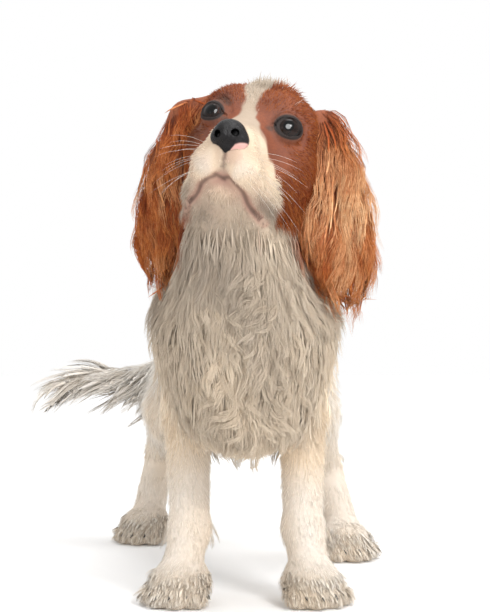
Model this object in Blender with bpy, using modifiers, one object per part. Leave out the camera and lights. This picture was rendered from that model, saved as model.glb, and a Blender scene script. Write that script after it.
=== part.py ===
"""A cavalier king charles spaniel standing with its head raised, as a still, life-size model.

Metres, +Z up. The dog faces -Y, its left side is +X, and its soles stand on Z = 0.
The flesh is a smooth blend of masses strung along the bones. It is parted into named pieces by
thin cuts, and flat tapered locks grow from the pieces that carry long coat.
"""

import math

import bmesh
import bpy
import numpy as np
from mathutils import Vector

# Driving dimensions

# Gaps: between parted flesh, round the eyes and nose, from a lock to flesh and from lock to lock
CUT_GAP = 0.0004
FITTED_GAP = 0.0003
LOCK_GAP = 0.0003
CROSSING_GAP = 0.00035
SEED = 9

# For each shape: the size of the cells it is remeshed at, and about how many triangles it keeps
CELLS = {"fine": 0.0024, "coarse": 0.0042, "nose": 0.0010, "tail": 0.0030, "ear": 0.0026}
DETAIL = {"fine": 7400, "coarse": 2900, "nose": 300, "tail": 220, "ear": 320}

# How flat a split is to be joined again and how close corners are to be welded, in the order tried
FLAT_ANGLE = math.radians(0.8)
WELD = 2e-6
CLEANING = ((FLAT_ANGLE, WELD), (FLAT_ANGLE, WELD / 20), (0, WELD), (0, WELD / 20), (0, 0))

# Where the head is held: between the eyes, and how it turns
HEAD_AT = Vector((0.0115, -0.060, 0.3790))
HEAD_YAW = math.radians(-11.5)
HEAD_PITCH = math.radians(-15)
HEAD_ROLL = math.radians(13)

EYE_RADIUS = 0.0112
EYE_AT = (0.0288, -0.0330, 0.0000)
NOSE_AT = (0.0, -0.0810, -0.0270)

SIDES = {"left": 1, "right": -1}

# The line of the lips from the middle to the left corner, and the groove from the nose down to it
MOUTH = [(0.0, -0.0690, -0.0490), (0.0085, -0.0680, -0.0535), (0.0165, -0.0615, -0.0620),
         (0.0230, -0.0520, -0.0700), (0.0290, -0.0430, -0.0735), (0.0320, -0.0340, -0.0740)]
PHILTRUM = [(0, -0.0830, -0.036), (0, -0.0780, -0.043), (0, -0.0700, -0.0490)]

# The joints of each leg, from the body down, and how far its paw turns outwards
FORELEG = {
    "left": dict(shoulder=(0.037, -0.008, 0.225), elbow=(0.048, 0.032, 0.160),
                 wrist=(0.048, 0.010, 0.060), paw=(0.054, -0.006, 0.0175), turn=26),
    "right": dict(shoulder=(-0.037, -0.008, 0.225), elbow=(-0.048, 0.032, 0.160),
                  wrist=(-0.046, 0.010, 0.060), paw=(-0.052, -0.006, 0.0175), turn=26),
}
HINDLEG = {
    "left": dict(hip=(0.040, 0.235, 0.222), stifle=(0.060, 0.196, 0.145),
                 hock=(0.078, 0.266, 0.083), paw=(0.094, 0.226, 0.0175), turn=34),
    "right": dict(hip=(-0.040, 0.245, 0.222), stifle=(-0.070, 0.250, 0.142),
                  hock=(-0.085, 0.352, 0.088), paw=(-0.098, 0.330, 0.0175), turn=36),
}
TAIL_PATH = [
    (0.000, 0.270, 0.262), (-0.012, 0.306, 0.250), (-0.040, 0.335, 0.212), (-0.078, 0.350, 0.170),
    (-0.118, 0.356, 0.158), (-0.152, 0.356, 0.163), (-0.184, 0.352, 0.155),
]
PLUME_COUNT = 15

# The rows of locks down each ear: how far down, how many, how long and how far they spread
EAR_ROWS = ((0.05, 3, 0.074, 0.22), (0.38, 4, 0.074, 0.32), (0.68, 4, 0.068, 0.42), (0.95, 4, 0.054, 0.50))
EAR_REACH = {"left": 1.0, "right": 0.92}


def turned(yaw, pitch, roll):
    """The matrix of a body rolled about its length, pitched up and then turned on its feet."""
    cy, sy = math.cos(yaw), math.sin(yaw)
    cp, sp = math.cos(pitch), math.sin(pitch)
    cr, sr = math.cos(roll), math.sin(roll)
    about_z = np.array([[cy, -sy, 0], [sy, cy, 0], [0, 0, 1]])
    about_x = np.array([[1, 0, 0], [0, cp, -sp], [0, sp, cp]])
    about_y = np.array([[cr, 0, sr], [0, 1, 0], [-sr, 0, cr]])
    return about_z @ about_x @ about_y


HEAD_TURN = turned(HEAD_YAW, HEAD_PITCH, HEAD_ROLL)
STRAIGHT = np.eye(3)


def on_head(point):
    """A point given in the head's own frame, in the dog's frame."""
    return tuple(np.array(HEAD_AT) + HEAD_TURN @ np.array(point, float))


class Flesh:
    """A blend of masses, each a cone with round ends, with lines pressed into it or raised on it."""

    def __init__(self):
        self.steps = []

    def mass(self, a, b, ra, rb, blend, scale=(1, 1, 1), turn=STRAIGHT, carve=False):
        self.steps.append(("mass", np.array(a, float), np.array(b, float), ra, rb, blend,
                           np.array(scale, float), turn, carve))

    def head_mass(self, a, b, ra, rb, blend, scale=(1, 1, 1), carve=False):
        self.mass(on_head(a), on_head(b), ra, rb, blend, scale, HEAD_TURN, carve)

    def line(self, points, width, depth):
        """A groove along points, or a ridge where depth is negative."""
        self.steps.append(("line", np.array(points, float), width, depth))

    def head_line(self, points, width, depth):
        self.line([on_head(p) for p in points], width, depth)

    def field(self, points):
        """The distance of each point outside the surface, and its gradient."""
        distance = np.full(len(points), 1.0)
        gradient = np.zeros_like(points)
        for step in self.steps:
            if step[0] == "mass":
                distance, gradient = blended(points, distance, gradient, step)
            else:
                distance, gradient = lined(points, distance, gradient, step)
        return distance, gradient

    def settle(self, points, level=0.0, rounds=4):
        """Moves points onto the surface, or onto the one level metres outside it."""
        for _ in range(rounds):
            distance, gradient = self.field(points)
            steepness = np.maximum((gradient ** 2).sum(1), 0.05)
            points = points - ((distance - level) / steepness)[:, None] * gradient
        return points

    def normals(self, points):
        gradient = self.field(points)[1]
        return gradient / np.maximum(np.linalg.norm(gradient, axis=1), 1e-9)[:, None]


def mass_distance(points, step):
    """First-order distance to one mass, with its gradient."""
    _, a, b, ra, rb, _, scale, turn, _ = step
    local = ((points - a) @ turn) / scale
    axis = ((b - a) @ turn) / scale
    along = np.clip((local @ axis) / max(axis @ axis, 1e-12), 0, 1)
    away = local - along[:, None] * axis
    reach = np.maximum(np.linalg.norm(away, axis=1), 1e-9)
    slope = (away / reach[:, None]) / scale
    steep = np.linalg.norm(slope, axis=1)
    distance = (reach - (ra + (rb - ra) * along)) / steep
    return distance, (slope / steep[:, None]) @ turn.T


def blended(points, distance, gradient, step):
    other, slope = mass_distance(points, step)
    blend, carve = step[5], step[8]
    if carve:
        distance, gradient = -distance, -gradient
    near = np.maximum(blend - np.abs(distance - other), 0) / blend
    share = np.where(other < distance, 1 - near / 2, near / 2)[:, None]
    distance = np.minimum(distance, other) - near ** 2 * blend / 4
    gradient = gradient * (1 - share) + slope * share
    return (-distance, -gradient) if carve else (distance, gradient)


def lined(points, distance, gradient, step):
    _, route, width, depth = step
    nearest = np.full(len(points), 1e9)
    toward = np.zeros_like(points)
    for a, b in zip(route[:-1], route[1:]):
        axis = b - a
        along = np.clip(((points - a) @ axis) / max(axis @ axis, 1e-12), 0, 1)
        away = points - a - along[:, None] * axis
        reach = np.linalg.norm(away, axis=1)
        closer = reach < nearest
        nearest[closer] = reach[closer]
        toward[closer] = away[closer]
    bump = depth * np.exp(-(nearest / width) ** 2)
    return distance + bump, gradient - (bump * 2 / width ** 2)[:, None] * toward


def smooth_route(points, count):
    """count points along a smooth curve through the points."""
    points = np.array(points, float)
    padded = np.vstack([2 * points[0] - points[1], points, 2 * points[-1] - points[-2]])
    at = np.linspace(0, len(points) - 1 - 1e-6, count)
    i = at.astype(int)
    t = (at - i)[:, None]
    p0, p1, p2, p3 = padded[i], padded[i + 1], padded[i + 2], padded[i + 3]
    return 0.5 * (2 * p1 + (p2 - p0) * t + (2 * p0 - 5 * p1 + 4 * p2 - p3) * t ** 2
                  + (3 * p1 - p0 - 3 * p2 + p3) * t ** 3)


def add_trunk(flesh):
    flesh.mass((0, 0.035, 0.216), (0, 0.160, 0.222), 0.076, 0.072, 0.02, (0.88, 1, 1))
    flesh.mass((0, 0.160, 0.236), (0, 0.240, 0.240), 0.056, 0.050, 0.04, (0.98, 1, 1))
    flesh.mass((0, 0.235, 0.236), (0, 0.272, 0.232), 0.052, 0.044, 0.03, (1.0, 1, 1))
    flesh.mass((0, 0.045, 0.268), (0, 0.100, 0.262), 0.034, 0.034, 0.04, (1.0, 1, 1))
    flesh.mass((0, -0.012, 0.215), (0, 0.000, 0.180), 0.052, 0.048, 0.03, (1.0, 1, 1))
    flesh.mass((0, 0.010, 0.160), (0, 0.090, 0.165), 0.030, 0.026, 0.02)


def add_neck(flesh):
    base, top = (0, 0.028, 0.262), on_head((0, 0.030, -0.032))
    flesh.mass(base, top, 0.058, 0.043, 0.035, (1.0, 1, 1))
    flesh.mass((0, -0.012, 0.245), on_head((0, -0.002, -0.052)), 0.046, 0.026, 0.03)


def add_foreleg(flesh, side):
    joints = FORELEG[side]
    s = SIDES[side]
    shoulder, elbow, wrist, paw = (np.array(joints[k]) for k in ("shoulder", "elbow", "wrist", "paw"))
    flesh.mass((s * 0.030, 0.040, 0.268), shoulder, 0.028, 0.030, 0.03)
    flesh.mass(shoulder, elbow, 0.029, 0.025, 0.02)
    flesh.mass(elbow, wrist, 0.0235, 0.0170, 0.012)
    flesh.mass(wrist, paw + (0, 0.004, 0.010), 0.0172, 0.0165, 0.010)
    add_paw(flesh, paw, s * joints["turn"], 1.0)


def add_paw(flesh, paw, turn_deg, size):
    """A broad paw of four toes, turned outwards, that reaches a little below the floor."""
    angle = math.radians(turn_deg)
    ahead = np.array([math.sin(angle), -math.cos(angle), 0])
    beside = np.array([math.cos(angle), math.sin(angle), 0])
    turn = turned(angle, 0, 0)
    flesh.mass(paw - ahead * 0.004, paw + ahead * 0.008, 0.0205 * size, 0.0205 * size, 0.010,
               (1.12, 1, 0.95), turn)
    toes = ((-0.0190, 0.008), (-0.0068, 0.017), (0.0068, 0.017), (0.0190, 0.008))
    for across, forward in toes:
        root = paw + beside * across * 0.7 * size + ahead * (forward - 0.006) + (0, 0, -0.005)
        tip = paw + beside * across * size + ahead * (forward + 0.006) + (0, 0, -0.0100)
        flesh.mass(root, tip, 0.0110 * size, 0.0102 * size, 0.0035, (1, 1, 1.05), turn)


def add_hindleg(flesh, side):
    joints = HINDLEG[side]
    s = SIDES[side]
    hip, stifle, hock, paw = (np.array(joints[k]) for k in ("hip", "stifle", "hock", "paw"))
    flesh.mass(hip, stifle, 0.048, 0.033, 0.03, (0.80, 1, 1))
    flesh.mass(hip + (0, 0.030, -0.015), (stifle + hock) / 2 + (-s * 0.004, 0.012, 0.020), 0.036, 0.024,
               0.025, (0.75, 1, 1))
    flesh.mass(stifle, hock, 0.029, 0.0165, 0.016, (0.9, 1, 1))
    flesh.mass(hock, paw + (0, 0.010, 0.008), 0.0165, 0.0160, 0.010)
    add_paw(flesh, paw, s * joints["turn"], 0.94)


def tail_radius(share):
    return 0.0165 - 0.0105 * share


def add_tail(flesh):
    route = smooth_route(TAIL_PATH, 11)
    for i, (a, b) in enumerate(zip(route[:-1], route[1:])):
        flesh.mass(a, b, tail_radius(i / 10), tail_radius((i + 1) / 10), 0.010)


def add_skull(flesh):
    """Domed skull, brows, cheeks, short deep muzzle with full lips, and the lower jaw."""
    flesh.head_mass((0, 0.012, 0.002), (0, 0.014, 0.000), 0.0455, 0.0455, 0.018, (1.03, 1.18, 1.0))
    flesh.head_mass((0, -0.032, -0.022), (0, -0.064, -0.030), 0.0270, 0.0205, 0.014, (1.0, 1, 1))
    for s in SIDES.values():
        flesh.head_mass((s * 0.030, -0.010, -0.022), (s * 0.028, 0.010, -0.034), 0.024, 0.025, 0.02)
        flesh.head_mass((s * 0.022, -0.023, 0.015), (s * 0.030, -0.015, 0.014), 0.0170, 0.0165, 0.014)
        flesh.head_mass((s * 0.0130, -0.0635, -0.0460), (s * 0.0190, -0.0330, -0.0600), 0.0155, 0.0170,
                        0.008)
    flesh.head_mass((0, -0.0560, -0.0630), (0, -0.0200, -0.0680), 0.0115, 0.0200, 0.004, (1.15, 1, 1))
    flesh.head_mass((0, -0.018, -0.058), (0, 0.022, -0.050), 0.026, 0.030, 0.02)


def eye_ring(side, radius, stations, squash):
    """Points round one eye, on a circle that faces outwards and forwards as the eye does."""
    s = SIDES[side]
    centre = np.array(EYE_AT) * (s, 1, 1)
    look = np.array([s * 0.36, -0.92, 0.10])
    look /= np.linalg.norm(look)
    across = np.cross(look, (0, 0, 1))
    across /= np.linalg.norm(across)
    up = np.cross(across, look)
    ring = []
    for i in range(stations + 1):
        angle = 2 * math.pi * i / stations
        ring.append(tuple(centre + look * 0.0062 + across * math.cos(angle) * radius
                          + up * math.sin(angle) * radius * squash))
    return ring


def laid(flesh, points, count):
    """A smooth line through points of the head, laid onto the surface."""
    return flesh.settle(np.array([on_head(p) for p in smooth_route(points, count)]), rounds=8)


def add_face_lines(flesh):
    """Lids, the line of the mouth, the groove under the nose and the furrow up the brow."""
    lips = [laid(flesh, np.array(MOUTH) * (s, 1, 1), 16) for s in SIDES.values()]
    groove = laid(flesh, PHILTRUM, 8)
    for side in SIDES:
        flesh.head_line(eye_ring(side, 0.0104, 14, 0.86), 0.0026, -0.0020)
    for line in lips:
        flesh.line(line, 0.0032, 0.0036)
    flesh.line(groove, 0.0024, 0.0020)
    flesh.head_line([(0, -0.040, 0.012), (0, -0.030, 0.030), (0, -0.005, 0.044)], 0.0080, 0.0014)


def whole_flesh():
    flesh = Flesh()
    add_trunk(flesh)
    add_neck(flesh)
    for side in SIDES:
        add_foreleg(flesh, side)
        add_hindleg(flesh, side)
    add_skull(flesh)
    add_face_lines(flesh)
    return flesh


def new_object(name, mesh, collection):
    made = bpy.data.objects.new(name, mesh)
    collection.objects.link(made)
    return made


def new_collection(name):
    made = bpy.data.collections.new(name)
    bpy.context.scene.collection.children.link(made)
    return made


def baked(obj, name):
    """The object's shape with its modifiers applied, as a new mesh."""
    graph = bpy.context.evaluated_depsgraph_get()
    mesh = bpy.data.meshes.new_from_object(obj.evaluated_get(graph))
    mesh.name = name
    return mesh


def points_of(mesh):
    flat = np.empty(len(mesh.vertices) * 3)
    mesh.vertices.foreach_get("co", flat)
    return flat.reshape(-1, 3)


def set_points(mesh, points):
    mesh.vertices.foreach_set("co", np.ascontiguousarray(points, np.float32).ravel())
    mesh.update()


def unit_ball(subdivisions):
    """The corners and triangles of a ball one metre in radius."""
    shape = bmesh.new()
    bmesh.ops.create_icosphere(shape, subdivisions=subdivisions, radius=1.0)
    corners = np.array([vert.co for vert in shape.verts])
    faces = np.array([[vert.index for vert in face.verts] for face in shape.faces])
    shape.free()
    return corners, faces


def mesh_from(name, corners, faces):
    mesh = bpy.data.meshes.new(name)
    mesh.from_pydata(np.asarray(corners).tolist(), [], np.asarray(faces).tolist())
    mesh.update()
    return mesh


def ball_at(centre, radius, name, collection):
    corners, faces = unit_ball(3)
    return new_object(name, mesh_from(name, corners * radius + np.array(centre), faces), collection)


def strung_spheres(flesh, name, collection):
    """One mesh of balls strung along every mass, from which the remesh takes its start."""
    ball, ball_faces = unit_ball(2)
    corners, faces = [], []
    for step in flesh.steps:
        if step[0] != "mass" or step[8]:
            continue
        _, a, b, ra, rb, _, scale, turn, _ = step
        count = 1 + math.ceil(np.linalg.norm(b - a) / (0.5 * min(ra, rb)))
        for t in np.linspace(0, 1, count):
            faces.append(ball_faces + len(corners) * len(ball))
            corners.append(a + (b - a) * t + (ball * (ra + (rb - ra) * t) * scale) @ turn.T)
    return new_object(name, mesh_from(name, np.vstack(corners), np.vstack(faces)), collection)


def flesh_mesh(flesh, name, kind, collection):
    """The blended surface as a mesh, as finely celled and detailed as that kind of shape is."""
    start = strung_spheres(flesh, name + "_start", collection)
    remesh = start.modifiers.new("fuse", "REMESH")
    remesh.mode = "VOXEL"
    remesh.voxel_size = CELLS[kind]
    start.modifiers.new("triangles", "TRIANGULATE")
    mesh = baked(start, name)
    bpy.data.objects.remove(start)
    set_points(mesh, flesh.settle(points_of(mesh)))
    made = new_object(name, mesh, collection)
    mesh.calc_loop_triangles()
    thin = made.modifiers.new("thin", "DECIMATE")
    thin.ratio = DETAIL[kind] / len(mesh.loop_triangles)
    made.data = baked(made, name)
    made.modifiers.clear()
    return made


def box_between(low, high, name, collection, turn=None, about=None):
    """A box, turned about a point if asked."""
    shape = bmesh.new()
    bmesh.ops.create_cube(shape, size=1.0)
    low, high = np.array(low, float), np.array(high, float)
    for vert in shape.verts:
        point = (low + high) / 2 + np.array(vert.co) * (high - low)
        if turn is not None:
            point = np.array(about) + turn @ (point - np.array(about))
        vert.co = Vector(point)
    mesh = bpy.data.meshes.new(name)
    shape.to_mesh(mesh)
    shape.free()
    return new_object(name, mesh, collection)


def boolean(obj, other, operation, solver="MANIFOLD"):
    """Applies one Boolean with an object or a collection."""
    modifier = obj.modifiers.new(operation.lower(), "BOOLEAN")
    modifier.operation = operation
    modifier.solver = solver
    if isinstance(other, bpy.types.Collection):
        modifier.operand_type = "COLLECTION"
        modifier.collection = other
    else:
        modifier.object = other
    mesh = baked(obj, obj.name)
    obj.modifiers.clear()
    old, obj.data = obj.data, mesh
    bpy.data.meshes.remove(old)


def volume_under(faces):
    """Six times the volume the faces close in, for comparing bodies."""
    return sum(f.verts[0].co.dot(f.verts[1].co.cross(f.verts[2].co)) for f in faces)


def drop_flaps(shape):
    """Removes pairs of faces that lie back to back on the same three corners."""
    while True:
        first, pairs = {}, []
        for face in shape.faces:
            corners = frozenset(face.verts)
            if corners in first:
                pairs += [face, first.pop(corners)]
            else:
                first[corners] = face
        if not pairs:
            return
        bmesh.ops.delete(shape, geom=pairs, context="FACES")


def bodies_of(shape):
    """The closed surfaces of a shape, as lists of faces."""
    bodies, seen = [], set()
    for face in shape.faces:
        if face in seen:
            continue
        body, queue = [], [face]
        seen.add(face)
        while queue:
            here = queue.pop()
            body.append(here)
            for edge in here.edges:
                for other in edge.link_faces:
                    if other not in seen:
                        seen.add(other)
                        queue.append(other)
        bodies.append(body)
    return bodies


def keep_largest(obj):
    """Joins flat splits, and drops every closed surface of the object but the one that holds most."""
    for flat_angle, weld in CLEANING:
        shape = bmesh.new()
        shape.from_mesh(obj.data)
        if weld:
            bmesh.ops.remove_doubles(shape, verts=shape.verts, dist=weld)
        if flat_angle:
            bmesh.ops.dissolve_limit(shape, angle_limit=flat_angle, verts=shape.verts, edges=shape.edges)
        bmesh.ops.triangulate(shape, faces=shape.faces, ngon_method="EAR_CLIP")
        drop_flaps(shape)
        bodies = bodies_of(shape)
        largest = max(bodies, key=volume_under)
        spare = [face for body in bodies if body is not largest for face in body]
        bmesh.ops.delete(shape, geom=spare, context="FACES")
        if all(edge.is_manifold for edge in shape.edges):
            break
    shape.to_mesh(obj.data)
    shape.free()


def swollen(obj, by, collection):
    """A copy of the object, pushed out along its normals, to cut its neighbours clear."""
    made = new_object(obj.name + "_swollen", obj.data.copy(), collection)
    push = made.modifiers.new("push", "DISPLACE")
    push.strength = by
    push.mid_level = 0
    made.data = baked(made, made.name)
    made.modifiers.clear()
    return made


def material(name, colour, roughness):
    made = bpy.data.materials.new(name)
    made.use_nodes = True
    surface = made.node_tree.nodes["Principled BSDF"]
    surface.inputs["Base Color"].default_value = (*colour, 1)
    surface.inputs["Roughness"].default_value = roughness
    surface.inputs["Metallic"].default_value = 0
    return made


def facing(normal):
    """A turn that carries +Z onto the normal."""
    return np.array(Vector((0, 0, 1)).rotation_difference(Vector(normal)).to_matrix())


def cleared_beyond(obj, point, normal, collection):
    """Cuts away all that lies beyond a plane, leaving half the gap."""
    normal = np.array(normal, float) / np.linalg.norm(normal)
    start = np.array(point, float) - normal * CUT_GAP / 2
    reach = 0.8
    cutter = box_between(start - (reach, reach, 0), start + (reach, reach, reach), "beyond", collection,
                         facing(normal), start)
    boolean(obj, cutter, "DIFFERENCE")
    bpy.data.objects.remove(cutter)


def copy_of(obj, name, collection):
    return new_object(name, obj.data.copy(), collection)


# Planes that part the pieces: a point on each, and the way out of the body
NECK_CUT = (on_head((0, -0.010, -0.074)), HEAD_TURN @ np.array((0, -0.45, 1.0)))
CHEST_CUT = ((0, 0.020, 0.258), (0, -0.60, 1.0))
LEG_ROOMS = {
    "foreleg": dict(low=(0.0230, -0.080, -0.050), high=(0.160, 0.080, 0.240),
                    under=(0.0300, 0, 0.142), out=(-0.42, 0.0, 1.0)),
    "hindleg": dict(low=(0.0160, 0.130, -0.050), high=(0.170, 0.460, 0.300),
                    under=(0.0300, 0.230, 0.175), out=(-0.50, 0.10, 1.0)),
}


def leg_room(kind, side, margin, collection):
    """The room a leg fills below a cut that follows the body's underside."""
    s = SIDES[side]
    room = LEG_ROOMS[kind]
    low, high = np.array(room["low"]) - margin, np.array(room["high"]) + margin
    if s < 0:
        low[0], high[0] = -high[0], -low[0]
    made = box_between(low, high, kind + "_room", collection)
    out = np.array(room["out"]) * (s, 1, 1)
    out /= np.linalg.norm(out)
    cleared_beyond(made, np.array(room["under"]) * (s, 1, 1) + out * margin, out, collection)
    return made


# Where each ear hangs, from its fold down, and which way its outer face looks, in degrees from +X
EAR_ROUTE = {
    "left": [on_head((0.038, 0.006, 0.022)), (0.0650, -0.0480, 0.386), (0.0730, -0.0540, 0.355),
             (0.0760, -0.0500, 0.318), (0.0820, -0.0440, 0.282)],
    "right": [on_head((-0.038, 0.006, 0.024)), (-0.0480, -0.0250, 0.390), (-0.0580, -0.0320, 0.355),
              (-0.0640, -0.0320, 0.325), (-0.0690, -0.0280, 0.298)],
}
EAR_FACES = {"left": -60, "right": 222}
EAR_WIDTHS = (0.010, 0.019, 0.024, 0.025, 0.019)


def ear_frame(side):
    """The turn of an ear: its thin way looks out, its wide way runs across it."""
    return turned(math.radians(EAR_FACES[side]), 0, 0)


def ear_flesh(side):
    """The ear's leather hanging from its fold, hollowed towards the cheek."""
    ear = Flesh()
    route = EAR_ROUTE[side]
    turn = ear_frame(side)
    out = turn @ np.array((1.0, 0, 0))
    for i, (a, b) in enumerate(zip(route[:-1], route[1:])):
        ear.mass(a, b, EAR_WIDTHS[i], EAR_WIDTHS[i + 1], 0.010, (0.32, 1.0, 1.0), turn)
    for i, (a, b) in enumerate(zip(route[1:-1], route[2:]), start=1):
        ear.mass(a - out * 0.0080, b - out * 0.0080, EAR_WIDTHS[i] * 0.72, EAR_WIDTHS[i + 1] * 0.72, 0.004,
                 (0.30, 1.0, 1.0), turn, carve=True)
    return ear


def nose_flesh():
    """The rounded pad, its wings and the two nostrils."""
    nose = Flesh()
    at = np.array(NOSE_AT)
    nose.head_mass(at + (0, 0.006, 0.000), at + (0, 0.000, 0.002), 0.0125, 0.0112, 0.004, (1.08, 1, 0.95))
    for s in SIDES.values():
        nose.head_mass(at + (s * 0.0050, 0.004, -0.002), at + (s * 0.0085, 0.002, -0.002), 0.0068, 0.0062,
                       0.004)
    nose.head_mass(at + (0, 0.006, -0.010), at + (0, 0.002, -0.007), 0.0055, 0.0050, 0.004)
    for s in SIDES.values():
        nose.head_line([at + (s * 0.0050, -0.0105, -0.0015), at + (s * 0.0105, -0.0085, -0.0035),
                        at + (s * 0.0150, -0.0020, -0.0010)], 0.0022, 0.0052)
    nose.head_line([at + (0, -0.012, 0.004), at + (0, -0.011, -0.006), at + (0, -0.006, -0.013)],
                   0.0010, 0.0010)
    return nose


def coat_core(flesh):
    """The dense part of the coat on throat, chest, belly and thighs, half way out to its tips."""
    flesh.mass(on_head((0, -0.002, -0.074)), (0, -0.036, 0.225), 0.034, 0.042, 0.03, (1.15, 1, 1))
    flesh.mass((0, -0.036, 0.225), (0, -0.022, 0.160), 0.042, 0.034, 0.03, (1.25, 1, 1))
    flesh.mass((0, 0.010, 0.150), (0, 0.200, 0.172), 0.024, 0.016, 0.03)
    for side, s in SIDES.items():
        hip, hock = (np.array(HINDLEG[side][k]) for k in ("hip", "hock"))
        flesh.mass(hip + (0, 0.040, -0.02), hock + (0, -0.022, 0.055), 0.026, 0.014, 0.02, (0.8, 1, 1))


LOCK_RINGS = 4
LOCK_PROFILE = (0.75, 1.0, 0.86, 0.52)


def unit(vector):
    vector = np.array(vector, float)
    return vector / max(np.linalg.norm(vector), 1e-9)


def lock(root, out, lie, length, width, chance, lift=0.35, drop=0.4, wave=0.12, sink=0.007, thick=0.34,
         shape=None, rise=0.006):
    """One flat tapered lock that leaves the skin at root along its lie, bends down and waves.

    Where a shape is given the lock lies along it, rising to rise metres above it at its tip.
    """
    out = unit(out)
    lie = unit(np.array(lie, float) - out * (np.array(lie, float) @ out))
    side = np.cross(lie, out)
    phase = chance.uniform(0, 2 * math.pi)
    heading = unit(lie * math.cos(lift) + out * math.sin(lift))
    place = np.array(root, float) - out * sink - heading * sink
    step = (length + sink) / LOCK_RINGS
    places, ups = [place], [out]
    for i in range(LOCK_RINGS):
        place = place + heading * step
        if shape is not None:
            share = (i + 1) / LOCK_RINGS
            place = shape.settle(place[None], 0.0015 + rise * share, rounds=2)[0]
            out = shape.normals(place[None])[0]
            heading = unit(place - places[-1])
        places.append(place)
        ups.append(out)
        heading = heading - out * (lift * 0.30) + np.array((0, 0, -drop / LOCK_RINGS))
        heading = unit(heading + side * wave * math.sin(phase + 2.2 * i))
    corners = []
    for i in range(LOCK_RINGS):
        along = unit(places[i + 1] - places[max(i - 1, 0)])
        across = unit(np.cross(along, ups[i]))
        above = np.cross(across, along)
        half = 0.5 * width * LOCK_PROFILE[i]
        flat = half * thick * (1.3 if i == 0 else 1.0)
        corners += [places[i] + across * half, places[i] + above * flat, places[i] - across * half,
                    places[i] - above * flat]
    corners.append(places[-1])
    faces = [(0, 1, 2), (0, 2, 3)]
    for i in range(LOCK_RINGS - 1):
        for k in range(4):
            a, b = 4 * i + k, 4 * i + (k + 1) % 4
            faces += [(a, a + 4, b + 4), (a, b + 4, b)]
    last, tip = 4 * (LOCK_RINGS - 1), 4 * LOCK_RINGS
    faces += [(last + k, tip, last + (k + 1) % 4) for k in range(4)]
    return np.array(corners), np.array(faces)


def between(low, high, chance):
    return chance.uniform(low, high)


def ear_locks(side, shape, chance):
    """Long wavy locks from the fold to below the leather, on its outer face and both edges."""
    turn = ear_frame(side)
    out, wide = turn @ np.array((1.0, 0, 0)), turn @ np.array((0, 1.0, 0))
    route = smooth_route(EAR_ROUTE[side][1:], 12)
    made = []
    for share, count, length, spread in EAR_ROWS:
        centre = route[int(share * 11)]
        for k in range(count):
            across = ((k + 0.5) / count * 2 - 1) * 0.86 + between(-0.08, 0.08, chance)
            place = centre + wide * across * 0.021 + out * 0.004 + (0, 0, between(-0.006, 0.006, chance))
            place = shape.settle(place[None])[0]
            away = out + wide * across * 0.8
            lie = np.array((0, 0, -1.0)) + wide * across * spread
            reach = length * EAR_REACH[side] * between(0.85, 1.12, chance)
            made.append(lock(place, away, lie, reach, between(0.021, 0.026, chance), chance, 0.26, 0.35, 0.14))
    return made


def surface_locks(shape, rows, chance):
    """Locks in rows: each row runs from one guide point to another and is laid onto the skin."""
    made = []
    for row in rows:
        start, end = np.array(row["start"], float), np.array(row["end"], float)
        for k in range(row["count"]):
            share = (k + 0.5) / row["count"] + between(-0.25, 0.25, chance) / row["count"]
            guide = start + (end - start) * share + np.array(row.get("bulge", (0, 0, 0))) * (
                1 - (2 * share - 1) ** 2)
            place = shape.settle(guide[None], rounds=6)[0]
            out = shape.normals(place[None])[0]
            lie = np.array(row["lie"], float) + np.array(row.get("fan", (0, 0, 0))) * (2 * share - 1)
            reach = row["length"] * between(0.85, 1.15, chance)
            made.append(lock(place, out, lie, reach, row["width"] * between(0.85, 1.15, chance), chance,
                             row.get("lift", 0.3), row.get("drop", 0.4), row.get("wave", 0.14),
                             shape=None if row.get("hangs") else shape, rise=row.get("rise", 0.009)))
    return made


NECK_ROWS = [
    dict(start=(-0.050, -0.030, 0.305), end=(0.056, -0.036, 0.300), bulge=(0, -0.060, 0), count=5,
         lie=(0, 0, -1), fan=(0.25, 0, 0), length=0.060, width=0.032),
    dict(start=(-0.062, -0.010, 0.276), end=(0.064, -0.012, 0.274), bulge=(0, -0.085, 0), count=6,
         lie=(0, 0, -1), fan=(0.25, 0, 0), length=0.060, width=0.034),
    dict(start=(-0.070, -0.010, 0.247), end=(0.070, -0.010, 0.247), bulge=(0, -0.090, 0), count=6,
         lie=(0, 0, -1), fan=(0.15, 0, 0), length=0.058, width=0.036),
]
TORSO_ROWS = [
    dict(start=(-0.064, -0.025, 0.212), end=(0.064, -0.025, 0.212), bulge=(0, -0.075, 0), count=5,
         lie=(0, 0, -1), fan=(-0.25, 0, 0), length=0.058, width=0.036),
    dict(start=(-0.050, -0.040, 0.178), end=(0.050, -0.040, 0.178), bulge=(0, -0.040, 0), count=4,
         lie=(0, 0, -1), fan=(-0.15, 0, 0), length=0.050, width=0.032),
    dict(start=(-0.022, -0.030, 0.138), end=(0.022, -0.030, 0.138), count=3,
         lie=(0, 0.5, -1), length=0.036, width=0.024, lift=0.9, drop=0.8, hangs=True),
    dict(start=(-0.010, 0.040, 0.125), end=(-0.010, 0.215, 0.150), count=4,
         lie=(0, 0.8, -1), length=0.040, width=0.026, lift=0.75, drop=0.8, hangs=True),
    dict(start=(0.010, 0.058, 0.125), end=(0.010, 0.230, 0.150), count=4,
         lie=(0, 0.8, -1), length=0.040, width=0.026, lift=0.75, drop=0.8, hangs=True),
]


def foreleg_rows(side):
    """Feathering behind the forearm, and the hair over the toes."""
    elbow, wrist, paw = (np.array(FORELEG[side][k]) for k in ("elbow", "wrist", "paw"))
    back = np.array((0, 0.040, 0))
    rows = [dict(start=elbow + back + (0, 0, -0.018), end=wrist + back + (0, 0, 0.012), count=5,
                 lie=(0, 0.45, -1), length=0.040, width=0.018, lift=0.40, drop=0.5, hangs=True)]
    return rows + toe_rows(paw, SIDES[side] * FORELEG[side]["turn"], 1.0)


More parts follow.
